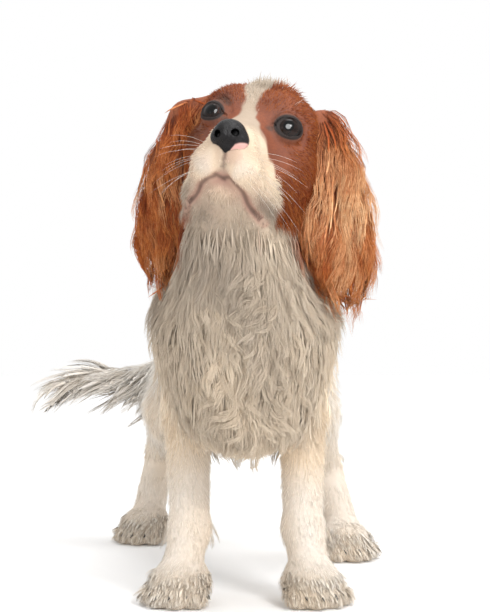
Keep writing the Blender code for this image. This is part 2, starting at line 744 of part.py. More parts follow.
def toe_rows(paw, turn_deg, size):
    angle = math.radians(turn_deg)
    ahead = np.array([math.sin(angle), -math.cos(angle), 0])
    beside = np.array([math.cos(angle), math.sin(angle), 0])
    start = paw - beside * 0.020 * size + ahead * 0.002 + (0, 0, 0.014)
    end = paw + beside * 0.020 * size + ahead * 0.002 + (0, 0, 0.014)
    return [dict(start=start, end=end, bulge=ahead * 0.010, count=4, lie=ahead + (0, 0, -0.4), length=0.024,
                 width=0.014, drop=0.3, wave=0.08, rise=0.003)]


def hindleg_rows(side):
    """The breeches behind the thigh, the hair of the hock and that over the toes."""
    s = SIDES[side]
    hip, hock, paw = (np.array(HINDLEG[side][k]) for k in ("hip", "hock", "paw"))
    upper = hip + (s * 0.004, 0.085, -0.045)
    lower = hock + (-s * 0.004, 0.020, 0.050)
    rows = [dict(start=upper, end=lower, count=5, lie=(0, 0.30, -1), length=0.048, width=0.022, lift=0.35,
                 hangs=True),
            dict(start=upper + (s * 0.020, -0.010, -0.004), end=lower + (s * 0.014, -0.006, 0.004), count=4,
                 lie=(s * 0.1, 0.35, -1), length=0.044, width=0.022, lift=0.25, hangs=True),
            dict(start=hock + (0, 0.03, 0.004), end=hock + (0, 0.012, -0.030), count=2,
                 lie=(0, 0.25, -1), length=0.030, width=0.014, lift=0.30, hangs=True)]
    return rows + toe_rows(paw, s * HINDLEG[side]["turn"], 0.94)


# Round the tail, from straight below: how far round each lock of the plume grows, and how much it hangs
PLUME_ROUND = ((-1.05, 0.55), (0.15, 0.85), (1.05, 0.55), (2.6, 0.12))


def tail_locks(shape, chance):
    """The plume: locks all along the tail that stream out towards its tip and hang."""
    made = []
    route = smooth_route(TAIL_PATH, 61)
    for k in range(PLUME_COUNT):
        share = 0.20 + 0.80 * (k + 0.5) / PLUME_COUNT
        i = int(share * 58)
        ahead = unit(route[i + 2] - route[i])
        beside = unit(np.cross(ahead, (0, 0, 1)))
        below = np.cross(ahead, beside)
        below = below * (-1 if below[2] > 0 else 1)
        angle, hang = PLUME_ROUND[k % len(PLUME_ROUND)]
        angle += between(-0.2, 0.2, chance)
        out = below * math.cos(angle) + beside * math.sin(angle)
        place = shape.settle((route[i] + out * tail_radius(share))[None])[0]
        lie = ahead + np.array((0, 0, -hang))
        made.append(lock(place, out, lie, between(0.052, 0.066, chance), between(0.020, 0.025, chance),
                         chance, 0.10 + 0.16 * hang, 0.25 * hang + 0.05, 0.12, sink=0.004))
    return made


def grown(obj, locks):
    """Joins the locks to the piece they grow from."""
    group = new_collection(obj.name + "_locks")
    for i, (corners, faces) in enumerate(locks):
        name = "%s_lock_%d" % (obj.name, i)
        new_object(name, mesh_from(name, corners, faces), group)
    boolean(obj, group, "UNION")
    for piece in list(group.objects):
        bpy.data.objects.remove(piece)
    bpy.data.collections.remove(group)


COLOURS = {
    "head": ((0.80, 0.74, 0.66), 0.9), "neck": ((0.82, 0.77, 0.70), 0.9),
    "torso": ((0.82, 0.76, 0.68), 0.9), "tail": ((0.84, 0.79, 0.72), 0.9),
    "ear": ((0.44, 0.16, 0.06), 0.9), "foreleg": ((0.84, 0.80, 0.73), 0.9),
    "hindleg": ((0.84, 0.79, 0.72), 0.9), "eye": ((0.03, 0.015, 0.01), 0.08),
    "nose": ((0.02, 0.02, 0.022), 0.4),
}


def cut_clear(obj, others, gap, tools):
    """Cuts the piece clear of what it would cross, by the gap; the later cuts reach into creases."""
    for other in others:
        for push in (gap, gap / 2, gap / 5):
            cutter = swollen(other, push, tools)
            boolean(obj, cutter, "DIFFERENCE")
            bpy.data.objects.remove(cutter)


def parted_flesh(flesh, parts, tools):
    """Head, neck, torso and legs, cut from one body."""
    fine = flesh_mesh(flesh, "fine", "fine", tools)
    coarse = flesh_mesh(flesh, "coarse", "coarse", tools)
    point, outward = NECK_CUT
    head = copy_of(fine, "head", parts)
    cleared_beyond(head, point, -outward, tools)
    cleared_beyond(coarse, point, outward, tools)
    floor = box_between((-1, -1, -1), (1, 1, 0), "floor", tools)
    boolean(coarse, floor, "DIFFERENCE")
    point, outward = CHEST_CUT
    neck = copy_of(coarse, "neck", parts)
    cleared_beyond(neck, point, -np.array(outward), tools)
    torso = copy_of(coarse, "torso", parts)
    cleared_beyond(torso, point, outward, tools)
    nodes = {"head": head, "neck": neck, "torso": torso}
    for kind in LEG_ROOMS:
        for side in SIDES:
            leg = copy_of(coarse, kind + "_" + side, parts)
            boolean(leg, leg_room(kind, side, 0, tools), "INTERSECT")
            boolean(torso, leg_room(kind, side, CUT_GAP, tools), "DIFFERENCE")
            nodes[leg.name] = leg
    return nodes


def main():
    for obj in list(bpy.data.objects):
        bpy.data.objects.remove(obj)
    parts = new_collection("cavalier_king_charles_spaniel")
    tools = new_collection("tools")
    chance = np.random.default_rng(SEED)
    flesh = whole_flesh()
    coat_core(flesh)
    nodes = parted_flesh(flesh, parts, tools)
    head, neck, torso = nodes["head"], nodes["neck"], nodes["torso"]

    nose = flesh_mesh(nose_flesh(), "nose", "nose", parts)
    cut_clear(head, [nose], FITTED_GAP, tools)
    for side, s in SIDES.items():
        centre = on_head((s * EYE_AT[0], EYE_AT[1], EYE_AT[2]))
        boolean(head, ball_at(centre, EYE_RADIUS + FITTED_GAP, "socket", tools), "DIFFERENCE")
        ball_at(centre, EYE_RADIUS, "eye_" + side, parts)

    tail_shape = Flesh()
    add_tail(tail_shape)
    tail = flesh_mesh(tail_shape, "tail", "tail", parts)
    ears, ear_shapes = {}, {}
    for side in SIDES:
        ear_shapes[side] = ear_flesh(side)
        ears[side] = flesh_mesh(ear_shapes[side], "ear_" + side, "ear", parts)
        cut_clear(ears[side], [head, neck, torso], CUT_GAP, tools)
    cut_clear(tail, [torso], CUT_GAP, tools)

    legs = [nodes[kind + "_" + side] for kind in LEG_ROOMS for side in SIDES]
    bare = {obj.name: copy_of(obj, obj.name + "_bare", tools) for obj in parts.objects}
    bare_legs = [bare[leg.name] for leg in legs]
    grown(neck, surface_locks(flesh, NECK_ROWS, chance))
    cut_clear(neck, [bare["head"], bare["torso"], bare["ear_left"], bare["ear_right"]], LOCK_GAP, tools)
    grown(torso, surface_locks(flesh, TORSO_ROWS, chance))
    cut_clear(torso, [bare["neck"]] + bare_legs, LOCK_GAP, tools)
    cut_clear(torso, [neck], CROSSING_GAP, tools)
    for side in SIDES:
        foreleg, hindleg = nodes["foreleg_" + side], nodes["hindleg_" + side]
        grown(foreleg, surface_locks(flesh, foreleg_rows(side), chance))
        grown(hindleg, surface_locks(flesh, hindleg_rows(side), chance))
        cut_clear(foreleg, [bare["torso"]], LOCK_GAP, tools)
        cut_clear(hindleg, [bare["torso"], bare["tail"]], LOCK_GAP, tools)
        grown(ears[side], ear_locks(side, ear_shapes[side], chance))
        cut_clear(ears[side], [bare["head"], bare["neck"], bare["torso"]], LOCK_GAP, tools)
        for piece, other in ((foreleg, torso), (hindleg, torso), (ears[side], neck), (ears[side], torso)):
            cut_clear(piece, [other], CROSSING_GAP, tools)
    grown(tail, tail_locks(tail_shape, chance))
    cut_clear(tail, [bare["torso"]], LOCK_GAP, tools)
    cut_clear(tail, [nodes["hindleg_left"], nodes["hindleg_right"]], CROSSING_GAP, tools)
    for leg in legs:
        boolean(leg, tools.objects["floor"], "DIFFERENCE")

    for obj in list(tools.objects):
        bpy.data.objects.remove(obj)
    nodes = list(parts.objects)
    for obj in nodes:
        keep_largest(obj)
        colour, roughness = COLOURS[obj.name.split("_")[0]]
        obj.data.materials.clear()
        obj.data.materials.append(material(obj.name + "_surface", colour, roughness))
    corners = np.vstack([points_of(obj.data) for obj in nodes])
    middle = (corners.min(0) + corners.max(0)) / 2
    for obj in nodes:
        set_points(obj.data, points_of(obj.data) - (middle[0], middle[1], 0))


main()
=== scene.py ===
"""The standing spaniel dressed for the camera: one skin with its markings, eyes, nose, claws and a coat
of mesh tufts and locks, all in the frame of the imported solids.
"""

import math

import bmesh
import bpy
import numpy as np
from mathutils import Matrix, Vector


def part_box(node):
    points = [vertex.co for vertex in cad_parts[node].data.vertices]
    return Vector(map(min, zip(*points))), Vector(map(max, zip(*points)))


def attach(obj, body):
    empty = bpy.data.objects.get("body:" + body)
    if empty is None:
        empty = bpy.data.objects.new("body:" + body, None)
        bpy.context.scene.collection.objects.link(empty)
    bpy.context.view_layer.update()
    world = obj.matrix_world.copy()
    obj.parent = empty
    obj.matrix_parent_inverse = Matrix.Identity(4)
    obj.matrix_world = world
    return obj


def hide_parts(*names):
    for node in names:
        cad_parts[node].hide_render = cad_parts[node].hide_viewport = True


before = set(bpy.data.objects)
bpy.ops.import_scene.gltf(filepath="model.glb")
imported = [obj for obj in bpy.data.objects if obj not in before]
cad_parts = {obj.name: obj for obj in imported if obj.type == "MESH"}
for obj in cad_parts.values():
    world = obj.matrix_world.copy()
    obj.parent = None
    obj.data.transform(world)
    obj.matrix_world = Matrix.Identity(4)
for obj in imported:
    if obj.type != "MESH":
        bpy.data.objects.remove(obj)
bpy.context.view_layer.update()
chance = np.random.default_rng(11)

# The body, repeated from the part's source in metres: the dog faces -Y and +X is its left

HEAD_AT = np.array((0.0115, -0.060, 0.3790))
HEAD_YAW, HEAD_PITCH, HEAD_ROLL = math.radians(-11.5), math.radians(-15), math.radians(13)
EYE_RADIUS = 0.0112
EYE_AT = np.array((0.0288, -0.0330, 0.0000))
NOSE_AT = np.array((0.0, -0.0810, -0.0270))
SIDES = {"left": 1, "right": -1}
HIND_PAW = 0.94             # size of a hind paw against a fore paw
FORELEG = {
    "left": dict(shoulder=(0.037, -0.008, 0.225), elbow=(0.048, 0.032, 0.160),
                 wrist=(0.048, 0.010, 0.060), paw=(0.054, -0.006, 0.0175), turn=26),
    "right": dict(shoulder=(-0.037, -0.008, 0.225), elbow=(-0.048, 0.032, 0.160),
                  wrist=(-0.046, 0.010, 0.060), paw=(-0.052, -0.006, 0.0175), turn=26),
}
HINDLEG = {
    "left": dict(hip=(0.040, 0.235, 0.222), stifle=(0.060, 0.196, 0.145),
                 hock=(0.078, 0.266, 0.083), paw=(0.094, 0.226, 0.0175), turn=34),
    "right": dict(hip=(-0.040, 0.245, 0.222), stifle=(-0.070, 0.250, 0.142),
                  hock=(-0.085, 0.352, 0.088), paw=(-0.098, 0.330, 0.0175), turn=36),
}
TAIL_PATH = [
    (0.000, 0.270, 0.262), (-0.012, 0.306, 0.250), (-0.040, 0.335, 0.212), (-0.078, 0.350, 0.170),
    (-0.118, 0.356, 0.158), (-0.152, 0.356, 0.163), (-0.184, 0.352, 0.155),
]
STRAIGHT = np.eye(3)


def turned(yaw, pitch, roll):
    cy, sy = math.cos(yaw), math.sin(yaw)
    cp, sp = math.cos(pitch), math.sin(pitch)
    cr, sr = math.cos(roll), math.sin(roll)
    about_z = np.array([[cy, -sy, 0], [sy, cy, 0], [0, 0, 1]])
    about_x = np.array([[1, 0, 0], [0, cp, -sp], [0, sp, cp]])
    about_y = np.array([[cr, 0, sr], [0, 1, 0], [-sr, 0, cr]])
    return about_z @ about_x @ about_y


HEAD_TURN = turned(HEAD_YAW, HEAD_PITCH, HEAD_ROLL)


def on_head(point):
    return HEAD_AT + HEAD_TURN @ np.array(point, float)


def in_head(points):
    return (points - HEAD_AT) @ HEAD_TURN


def unit(v):
    v = np.asarray(v, float)
    return v / np.maximum(np.linalg.norm(v, axis=-1, keepdims=True), 1e-9)


def smooth(low, high, x):
    t = np.clip((x - low) / (high - low), 0, 1)
    return t * t * (3 - 2 * t)


# The solids stand with their box centred on the origin: this is where the dog's own origin then lies
low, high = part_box("eye_left")
SHIFT = (np.array(low) + np.array(high)) / 2 - on_head(EYE_AT)


class Flesh:
    """A blend of round-ended cones, with lines pressed into it or raised on it."""

    def __init__(self):
        self.steps = []

    def mass(self, a, b, ra, rb, blend, scale=(1, 1, 1), turn=STRAIGHT, carve=False):
        self.steps.append(("mass", np.array(a, float), np.array(b, float), ra, rb, blend,
                           np.array(scale, float), turn, carve))

    def head_mass(self, a, b, ra, rb, blend, scale=(1, 1, 1), carve=False):
        self.mass(on_head(a), on_head(b), ra, rb, blend, scale, HEAD_TURN, carve)

    def line(self, points, width, depth):
        self.steps.append(("line", np.array(points, float), width, depth))

    def head_line(self, points, width, depth):
        self.line([on_head(p) for p in points], width, depth)

    def field(self, points):
        distance = np.full(len(points), 1.0)
        gradient = np.zeros_like(points)
        for step in self.steps:
            if step[0] == "mass":
                distance, gradient = blended(points, distance, gradient, step)
            else:
                distance, gradient = lined(points, distance, gradient, step)
        return distance, gradient

    def settle(self, points, level=0.0, rounds=4):
        for _ in range(rounds):
            distance, gradient = self.field(points)
            steepness = np.maximum((gradient ** 2).sum(1), 0.05)
            points = points - ((distance - level) / steepness)[:, None] * gradient
        return points

    def normals(self, points):
        return unit(self.field(points)[1])


def blended(points, distance, gradient, step):
    _, a, b, ra, rb, blend, scale, turn, carve = step
    if carve:
        distance, gradient = -distance, -gradient
    # Far points can't feel this mass, so only near ones are worked out
    reach = max(ra, rb) * scale.max() + blend + (0 if carve else 0.05)
    near = ((points > np.minimum(a, b) - reach) & (points < np.maximum(a, b) + reach)).all(1)
    if not carve:
        near |= distance > 0.9
    if not near.any():
        return (-distance, -gradient) if carve else (distance, gradient)
    at = points[near]
    local = ((at - a) @ turn) / scale
    axis = ((b - a) @ turn) / scale
    along = np.clip((local @ axis) / max(axis @ axis, 1e-12), 0, 1)
    away = local - along[:, None] * axis
    length = np.maximum(np.linalg.norm(away, axis=1), 1e-9)
    slope = (away / length[:, None]) / scale
    steep = np.linalg.norm(slope, axis=1)
    other = (length - (ra + (rb - ra) * along)) / steep
    slope = (slope / steep[:, None]) @ turn.T
    held = distance[near]
    meet = np.maximum(blend - np.abs(held - other), 0) / blend
    share = np.where(other < held, 1 - meet / 2, meet / 2)[:, None]
    distance, gradient = distance.copy(), gradient.copy()
    distance[near] = np.minimum(held, other) - meet ** 2 * blend / 4
    gradient[near] = gradient[near] * (1 - share) + slope * share
    return (-distance, -gradient) if carve else (distance, gradient)


def lined(points, distance, gradient, step):
    _, route, width, depth = step
    reach = width * 3
    near = ((points > route.min(0) - reach) & (points < route.max(0) + reach)).all(1)
    if not near.any():
        return distance, gradient
    at = points[near]
    nearest = np.full(len(at), 1e9)
    toward = np.zeros_like(at)
    for a, b in zip(route[:-1], route[1:]):
        axis = b - a
        along = np.clip(((at - a) @ axis) / max(axis @ axis, 1e-12), 0, 1)
        away = at - a - along[:, None] * axis
        length = np.linalg.norm(away, axis=1)
        closer = length < nearest
        nearest[closer] = length[closer]
        toward[closer] = away[closer]
    bump = depth * np.exp(-(nearest / width) ** 2)
    distance, gradient = distance.copy(), gradient.copy()
    distance[near] += bump
    gradient[near] -= (bump * 2 / width ** 2)[:, None] * toward
    return distance, gradient


def smooth_route(points, count):
    points = np.array(points, float)
    padded = np.vstack([2 * points[0] - points[1], points, 2 * points[-1] - points[-2]])
    at = np.linspace(0, len(points) - 1 - 1e-6, count)
    i = at.astype(int)
    t = (at - i)[:, None]
    p0, p1, p2, p3 = padded[i], padded[i + 1], padded[i + 2], padded[i + 3]
    return 0.5 * (2 * p1 + (p2 - p0) * t + (2 * p0 - 5 * p1 + 4 * p2 - p3) * t ** 2
                  + (3 * p1 - p0 - 3 * p2 + p3) * t ** 3)


def add_trunk(flesh):
    flesh.mass((0, 0.035, 0.216), (0, 0.160, 0.222), 0.076, 0.072, 0.02, (0.88, 1, 1))
    flesh.mass((0, 0.160, 0.236), (0, 0.240, 0.240), 0.056, 0.050, 0.04, (0.98, 1, 1))
    flesh.mass((0, 0.235, 0.236), (0, 0.272, 0.232), 0.052, 0.044, 0.03, (1.0, 1, 1))
    flesh.mass((0, 0.045, 0.268), (0, 0.100, 0.262), 0.034, 0.034, 0.04, (1.0, 1, 1))
    flesh.mass((0, -0.012, 0.215), (0, 0.000, 0.180), 0.052, 0.048, 0.03, (1.0, 1, 1))
    flesh.mass((0, 0.010, 0.160), (0, 0.090, 0.165), 0.030, 0.026, 0.02)


def add_neck(flesh):
    base, top = (0, 0.028, 0.262), on_head((0, 0.030, -0.032))
    flesh.mass(base, top, 0.058, 0.043, 0.035, (1.0, 1, 1))
    flesh.mass((0, -0.012, 0.245), on_head((0, -0.002, -0.052)), 0.046, 0.026, 0.03)


def add_foreleg(flesh, side):
    joints, s = FORELEG[side], SIDES[side]
    shoulder, elbow, wrist, paw = (np.array(joints[k]) for k in ("shoulder", "elbow", "wrist", "paw"))
    flesh.mass((s * 0.030, 0.040, 0.268), shoulder, 0.028, 0.030, 0.03)
    flesh.mass(shoulder, elbow, 0.029, 0.025, 0.02)
    flesh.mass(elbow, wrist, 0.0235, 0.0170, 0.012)
    flesh.mass(wrist, paw + (0, 0.004, 0.010), 0.0172, 0.0165, 0.010)
    add_paw(flesh, paw, s * joints["turn"], 1.0)


def paw_axes(turn_deg):
    angle = math.radians(turn_deg)
    return (np.array([math.sin(angle), -math.cos(angle), 0]),
            np.array([math.cos(angle), math.sin(angle), 0]), turned(angle, 0, 0))


# How far across the paw and how far forward each toe is
TOES = ((-0.0190, 0.008), (-0.0068, 0.017), (0.0068, 0.017), (0.0190, 0.008))
CLAW_SIZE = 0.85            # how far across the paw the claws stand, against the toes


def add_paw(flesh, paw, turn_deg, size):
    ahead, beside, turn = paw_axes(turn_deg)
    flesh.mass(paw - ahead * 0.004, paw + ahead * 0.008, 0.0205 * size, 0.0205 * size, 0.010,
               (1.12, 1, 0.95), turn)
    for across, forward in TOES:
        root = paw + beside * across * 0.7 * size + ahead * (forward - 0.006) + (0, 0, -0.005)
        tip = paw + beside * across * size + ahead * (forward + 0.006) + (0, 0, -0.0100)
        flesh.mass(root, tip, 0.0110 * size, 0.0102 * size, 0.0035, (1, 1, 1.05), turn)


def add_hindleg(flesh, side):
    joints, s = HINDLEG[side], SIDES[side]
    hip, stifle, hock, paw = (np.array(joints[k]) for k in ("hip", "stifle", "hock", "paw"))
    flesh.mass(hip, stifle, 0.048, 0.033, 0.03, (0.80, 1, 1))
    flesh.mass(hip + (0, 0.030, -0.015), (stifle + hock) / 2 + (-s * 0.004, 0.012, 0.020), 0.036, 0.024,
               0.025, (0.75, 1, 1))
    flesh.mass(stifle, hock, 0.029, 0.0165, 0.016, (0.9, 1, 1))
    flesh.mass(hock, paw + (0, 0.010, 0.008), 0.0165, 0.0160, 0.010)
    add_paw(flesh, paw, s * joints["turn"], HIND_PAW)


def tail_radius(share):
    return 0.0165 - 0.0105 * share


def add_tail(flesh):
    route = smooth_route(TAIL_PATH, 11)
    for i, (a, b) in enumerate(zip(route[:-1], route[1:])):
        flesh.mass(a, b, tail_radius(i / 10), tail_radius((i + 1) / 10), 0.010)


def add_skull(flesh):
    flesh.head_mass((0, 0.012, 0.002), (0, 0.014, 0.000), 0.0455, 0.0455, 0.018, (1.03, 1.18, 1.0))
    flesh.head_mass((0, -0.032, -0.022), (0, -0.064, -0.030), 0.0270, 0.0205, 0.014, (1.0, 1, 1))
    for s in SIDES.values():
        flesh.head_mass((s * 0.030, -0.010, -0.022), (s * 0.028, 0.010, -0.034), 0.024, 0.025, 0.02)
        flesh.head_mass((s * 0.022, -0.023, 0.015), (s * 0.030, -0.015, 0.014), 0.0170, 0.0165, 0.014)
        flesh.head_mass((s * 0.0130, -0.0635, -0.0460), (s * 0.0190, -0.0330, -0.0600), 0.0155, 0.0170,
                        0.008)
    flesh.head_mass((0, -0.0560, -0.0630), (0, -0.0200, -0.0680), 0.0115, 0.0200, 0.004, (1.15, 1, 1))
    flesh.head_mass((0, -0.018, -0.058), (0, 0.022, -0.050), 0.026, 0.030, 0.02)


def coat_core(flesh):
    flesh.mass(on_head((0, -0.002, -0.074)), (0, -0.036, 0.225), 0.034, 0.042, 0.03, (1.15, 1, 1))
    flesh.mass((0, -0.036, 0.225), (0, -0.022, 0.160), 0.042, 0.034, 0.03, (1.25, 1, 1))
    flesh.mass((0, 0.010, 0.150), (0, 0.200, 0.172), 0.024, 0.016, 0.03)
    for side in SIDES:
        hip, hock = (np.array(HINDLEG[side][k]) for k in ("hip", "hock"))
        flesh.mass(hip + (0, 0.040, -0.02), hock + (0, -0.022, 0.055), 0.026, 0.014, 0.02, (0.8, 1, 1))


MOUTH = [(0.0, -0.0690, -0.0490), (0.0085, -0.0680, -0.0535), (0.0165, -0.0615, -0.0620),
         (0.0230, -0.0520, -0.0700), (0.0290, -0.0430, -0.0735), (0.0320, -0.0340, -0.0740)]


def eye_axes(side):
    """The way an eye looks, and the ways across and up its opening."""
    s = SIDES[side]
    look = unit(np.array([s * 0.36, -0.92, 0.10]))
    across = unit(np.cross(look, (0, 0, 1)))
    return look, across, np.cross(across, look)


def eye_ring(side, radius, stations, squash, forward=0.0062):
    look, across, up = eye_axes(side)
    centre = EYE_AT * (SIDES[side], 1, 1)
    angles = np.linspace(0, 2 * math.pi, stations + 1)
    return [centre + look * forward + across * math.cos(a) * radius + up * math.sin(a) * radius * squash
            for a in angles]


# Half the opening between the lids, across and up, and how thick their margins are
LID_OPENING = {"left": (0.0100, 0.0077), "right": (0.0092, 0.0066)}
LID_THICK = 0.0012


def lid_ring(side, stations=26):
    """The margin of the lids, close over the eyeball."""
    look, across, up = eye_axes(side)
    centre = EYE_AT * (SIDES[side], 1, 1)
    wide, high = LID_OPENING[side]
    ring = []
    for angle in np.linspace(0, 2 * math.pi, stations + 1):
        beside = across * math.cos(angle) * wide + up * math.sin(angle) * high
        reach = EYE_RADIUS + 0.5 * LID_THICK
        ring.append(centre + beside + look * math.sqrt(reach ** 2 - beside @ beside))
    return ring


def add_lids(flesh, side):
    """Lids that cover the eyeball but for an oval opening, with the corner towards the nose drawn out."""
    look, across, up = eye_axes(side)
    centre = EYE_AT * (SIDES[side], 1, 1)
    wide, high = LID_OPENING[side]
    flesh.head_mass(centre, centre, EYE_RADIUS + LID_THICK, EYE_RADIUS + LID_THICK, 0.005)
    opening = on_head(centre + look * 0.0070)
    axes = HEAD_TURN @ np.stack([across, look, up], 1)
    flesh.mass(opening, opening, 0.0100, 0.0100, 0.0008, (wide / 0.0100, 1.4, high / 0.0100), axes,
               carve=True)
    inner = -SIDES[side] * (1 if across[0] > 0 else -1)
    corner = centre + across * inner * wide + look * 0.0060
    flesh.head_line([corner, corner + across * inner * 0.0030 + up * -0.0012 + look * -0.0008], 0.0012, 0.0016)


PHILTRUM = [(0, -0.0830, -0.036), (0, -0.0780, -0.043), (0, -0.0700, -0.0490)]


def laid(flesh, points, count):
    """A smooth line through points of the head, laid onto the surface."""
    return flesh.settle(np.array([on_head(p) for p in smooth_route(points, count)]), rounds=8)


def add_face_lines(flesh):
    """The lids, the furrows and the lips; returns the lines of the mouth and of the groove above it."""
    lips = {side: laid(flesh, np.array(MOUTH) * (s, 1, 1), 16) for side, s in SIDES.items()}
    groove = laid(flesh, PHILTRUM, 8)
    for side, s in SIDES.items():
        add_lids(flesh, side)
        flesh.head_line(eye_ring(side, 0.0150, 24, 0.90, 0.005)[1:12], 0.0016, 0.0010)
        flesh.line(lips[side], 0.0020, 0.0055)
    flesh.line(groove, 0.0013, 0.0036)
    flesh.head_line([(0, -0.040, 0.012), (0, -0.030, 0.030), (0, -0.005, 0.044)], 0.0080, 0.0014)
    deep = -0.0006
    return {side: flesh.settle(lip, deep, 8) for side, lip in lips.items()}, flesh.settle(groove, deep, 8)


NOSTRILS = ((0.0068, -0.0094, 0.0004), (-0.0080, -0.0064, -0.0026))


def nose_flesh():
    nose, at = Flesh(), NOSE_AT
    nose.head_mass(at + (0, 0.006, 0.000), at + (0, 0.000, 0.002), 0.0125, 0.0112, 0.004, (1.08, 1, 0.95))
    for s in SIDES.values():
        nose.head_mass(at + (s * 0.0050, 0.004, -0.002), at + (s * 0.0085, 0.002, -0.002), 0.0068, 0.0062,
                       0.004)
    nose.head_mass(at + (0, 0.006, -0.010), at + (0, 0.002, -0.007), 0.0055, 0.0050, 0.004)
    nose.head_line([at + (0, -0.012, 0.004), at + (0, -0.011, -0.006), at + (0, -0.006, -0.013)],
                   0.0009, 0.0016)
    return nose


def nostril_flesh():
    """What the nostrils hollow out: each a round hole that runs out into a slit round the wing."""
    holes = Flesh()
    for s, nostril in zip(SIDES.values(), NOSTRILS):
        mouth = NOSE_AT + nostril
        holes.head_mass(mouth + (0, -0.0030, 0), mouth + (-s * 0.0010, 0.0036, 0.0010), 0.0031, 0.0024, 0.0010,
                        (1.12, 1, 1.0))
        holes.head_mass(mouth + (s * 0.0014, -0.0030, -0.0016), mouth + (s * 0.0062, 0.0030, -0.0044), 0.0019,
                        0.0011, 0.0016)
    return holes


EAR_ROUTE = {
    "left": [on_head((0.038, 0.006, 0.022)), (0.0630, -0.0480, 0.386), (0.0680, -0.0540, 0.355),
             (0.0725, -0.0500, 0.318), (0.0800, -0.0440, 0.282)],
    "right": [on_head((-0.038, 0.006, 0.024)), (-0.0480, -0.0250, 0.390), (-0.0580, -0.0320, 0.355),
              (-0.0640, -0.0320, 0.325), (-0.0690, -0.0280, 0.298)],
}
EAR_FACES = {"left": -60, "right": 222}
EAR_WIDTHS = {"left": (0.009, 0.013, 0.019, 0.024, 0.020), "right": (0.010, 0.019, 0.024, 0.025, 0.019)}


def ear_frame(side):
    return turned(math.radians(EAR_FACES[side]), 0, 0)


def ear_flesh(side):
    ear, route, turn, widths = Flesh(), EAR_ROUTE[side], ear_frame(side), EAR_WIDTHS[side]
    out = turn @ np.array((1.0, 0, 0))
    for i, (a, b) in enumerate(zip(route[:-1], route[1:])):
        ear.mass(a, b, widths[i], widths[i + 1], 0.010, (0.32, 1.0, 1.0), turn)
    for i, (a, b) in enumerate(zip(route[1:-1], route[2:]), start=1):
        ear.mass(a - out * 0.0080, b - out * 0.0080, widths[i] * 0.72, widths[i + 1] * 0.72, 0.004,
                 (0.30, 1.0, 1.0), turn, carve=True)
    return ear


def whole_flesh():
    flesh = Flesh()
    add_trunk(flesh)
    add_neck(flesh)
    for side in SIDES:
        add_foreleg(flesh, side)
        add_hindleg(flesh, side)
    add_skull(flesh)
    coat_core(flesh)
    add_tail(flesh)
    lips, groove = add_face_lines(flesh)
    return flesh, lips, groove


# Meshes from arrays

def mesh_of(name, corners, faces, smooth_faces=True):
    """A mesh from an array of corners and an array, or a list of arrays, of faces of equal size."""
    groups = faces if isinstance(faces, list) else [faces]
    mesh = bpy.data.meshes.new(name)
    mesh.vertices.add(len(corners))
    mesh.vertices.foreach_set("co", np.ascontiguousarray(corners, np.float32).ravel())
    loops = np.concatenate([g.ravel() for g in groups]).astype(np.int32)
    sizes = np.concatenate([np.full(len(g), g.shape[1]) for g in groups])
    mesh.loops.add(len(loops))
    mesh.loops.foreach_set("vertex_index", loops)
    mesh.polygons.add(len(sizes))
    mesh.polygons.foreach_set("loop_start", np.concatenate([[0], np.cumsum(sizes)[:-1]]).astype(np.int32))
    if smooth_faces:
        mesh.polygons.foreach_set("use_smooth", np.ones(len(sizes), bool))
    mesh.update(calc_edges=True)
    return mesh


def new_piece(name, mesh, material=None):
    piece = bpy.data.objects.new(name, mesh)
    bpy.context.scene.collection.objects.link(piece)
    if material is not None:
        mesh.materials.append(material)
    return piece


def points_of(mesh):
    flat = np.empty(len(mesh.vertices) * 3, np.float32)
    mesh.vertices.foreach_get("co", flat)
    return flat.reshape(-1, 3).astype(float)


def set_points(mesh, points):
    mesh.vertices.foreach_set("co", np.ascontiguousarray(points, np.float32).ravel())
    mesh.update()


def paint(mesh, **values):
    """Stores one number for every corner under each name, for the materials to read."""
    for name, value in values.items():
        layer = mesh.attributes.get(name) or mesh.attributes.new(name, "FLOAT", "POINT")
        layer.data.foreach_set("value", np.ascontiguousarray(value, np.float32))


def unit_ball(subdivisions):
    shape = bmesh.new()
    bmesh.ops.create_icosphere(shape, subdivisions=subdivisions, radius=1.0)
    corners = np.array([vert.co for vert in shape.verts])
    faces = np.array([[vert.index for vert in face.verts] for face in shape.faces])
    shape.free()
    return corners, faces


def fused(flesh, name, voxel):
    """The blended surface as one mesh of small quads, settled onto the field."""
    ball, ball_faces = unit_ball(2)
    corners, faces = [], []
    for step in flesh.steps:
        if step[0] != "mass" or step[8]:
            continue
        _, a, b, ra, rb, _, scale, turn, _ = step
        count = 1 + math.ceil(np.linalg.norm(b - a) / (0.5 * min(ra, rb)))
        for t in np.linspace(0, 1, count):
            faces.append(ball_faces + len(corners) * len(ball))
            corners.append(a + (b - a) * t + (ball * (ra + (rb - ra) * t) * scale) @ turn.T)
    start = new_piece(name + "_start", mesh_of(name, np.vstack(corners), np.vstack(faces)))
    remesh = start.modifiers.new("fuse", "REMESH")
    remesh.mode = "VOXEL"
    remesh.voxel_size = voxel
    graph = bpy.context.evaluated_depsgraph_get()
    mesh = bpy.data.meshes.new_from_object(start.evaluated_get(graph))
    mesh.name = name
    bpy.data.objects.remove(start)
    set_points(mesh, flesh.settle(points_of(mesh)))
    return mesh


def finer_where(mesh, chosen):
    """Cuts in four the faces whose corners are all chosen."""
    shape = bmesh.new()
    shape.from_mesh(mesh)
    edges = [edge for edge in shape.edges if chosen[edge.verts[0].index] and chosen[edge.verts[1].index]]
    bmesh.ops.subdivide_edges(shape, edges=edges, cuts=1, use_grid_fill=True)
    bmesh.ops.triangulate(shape, faces=[face for face in shape.faces if len(face.verts) > 4])
    shape.to_mesh(mesh)
    shape.free()


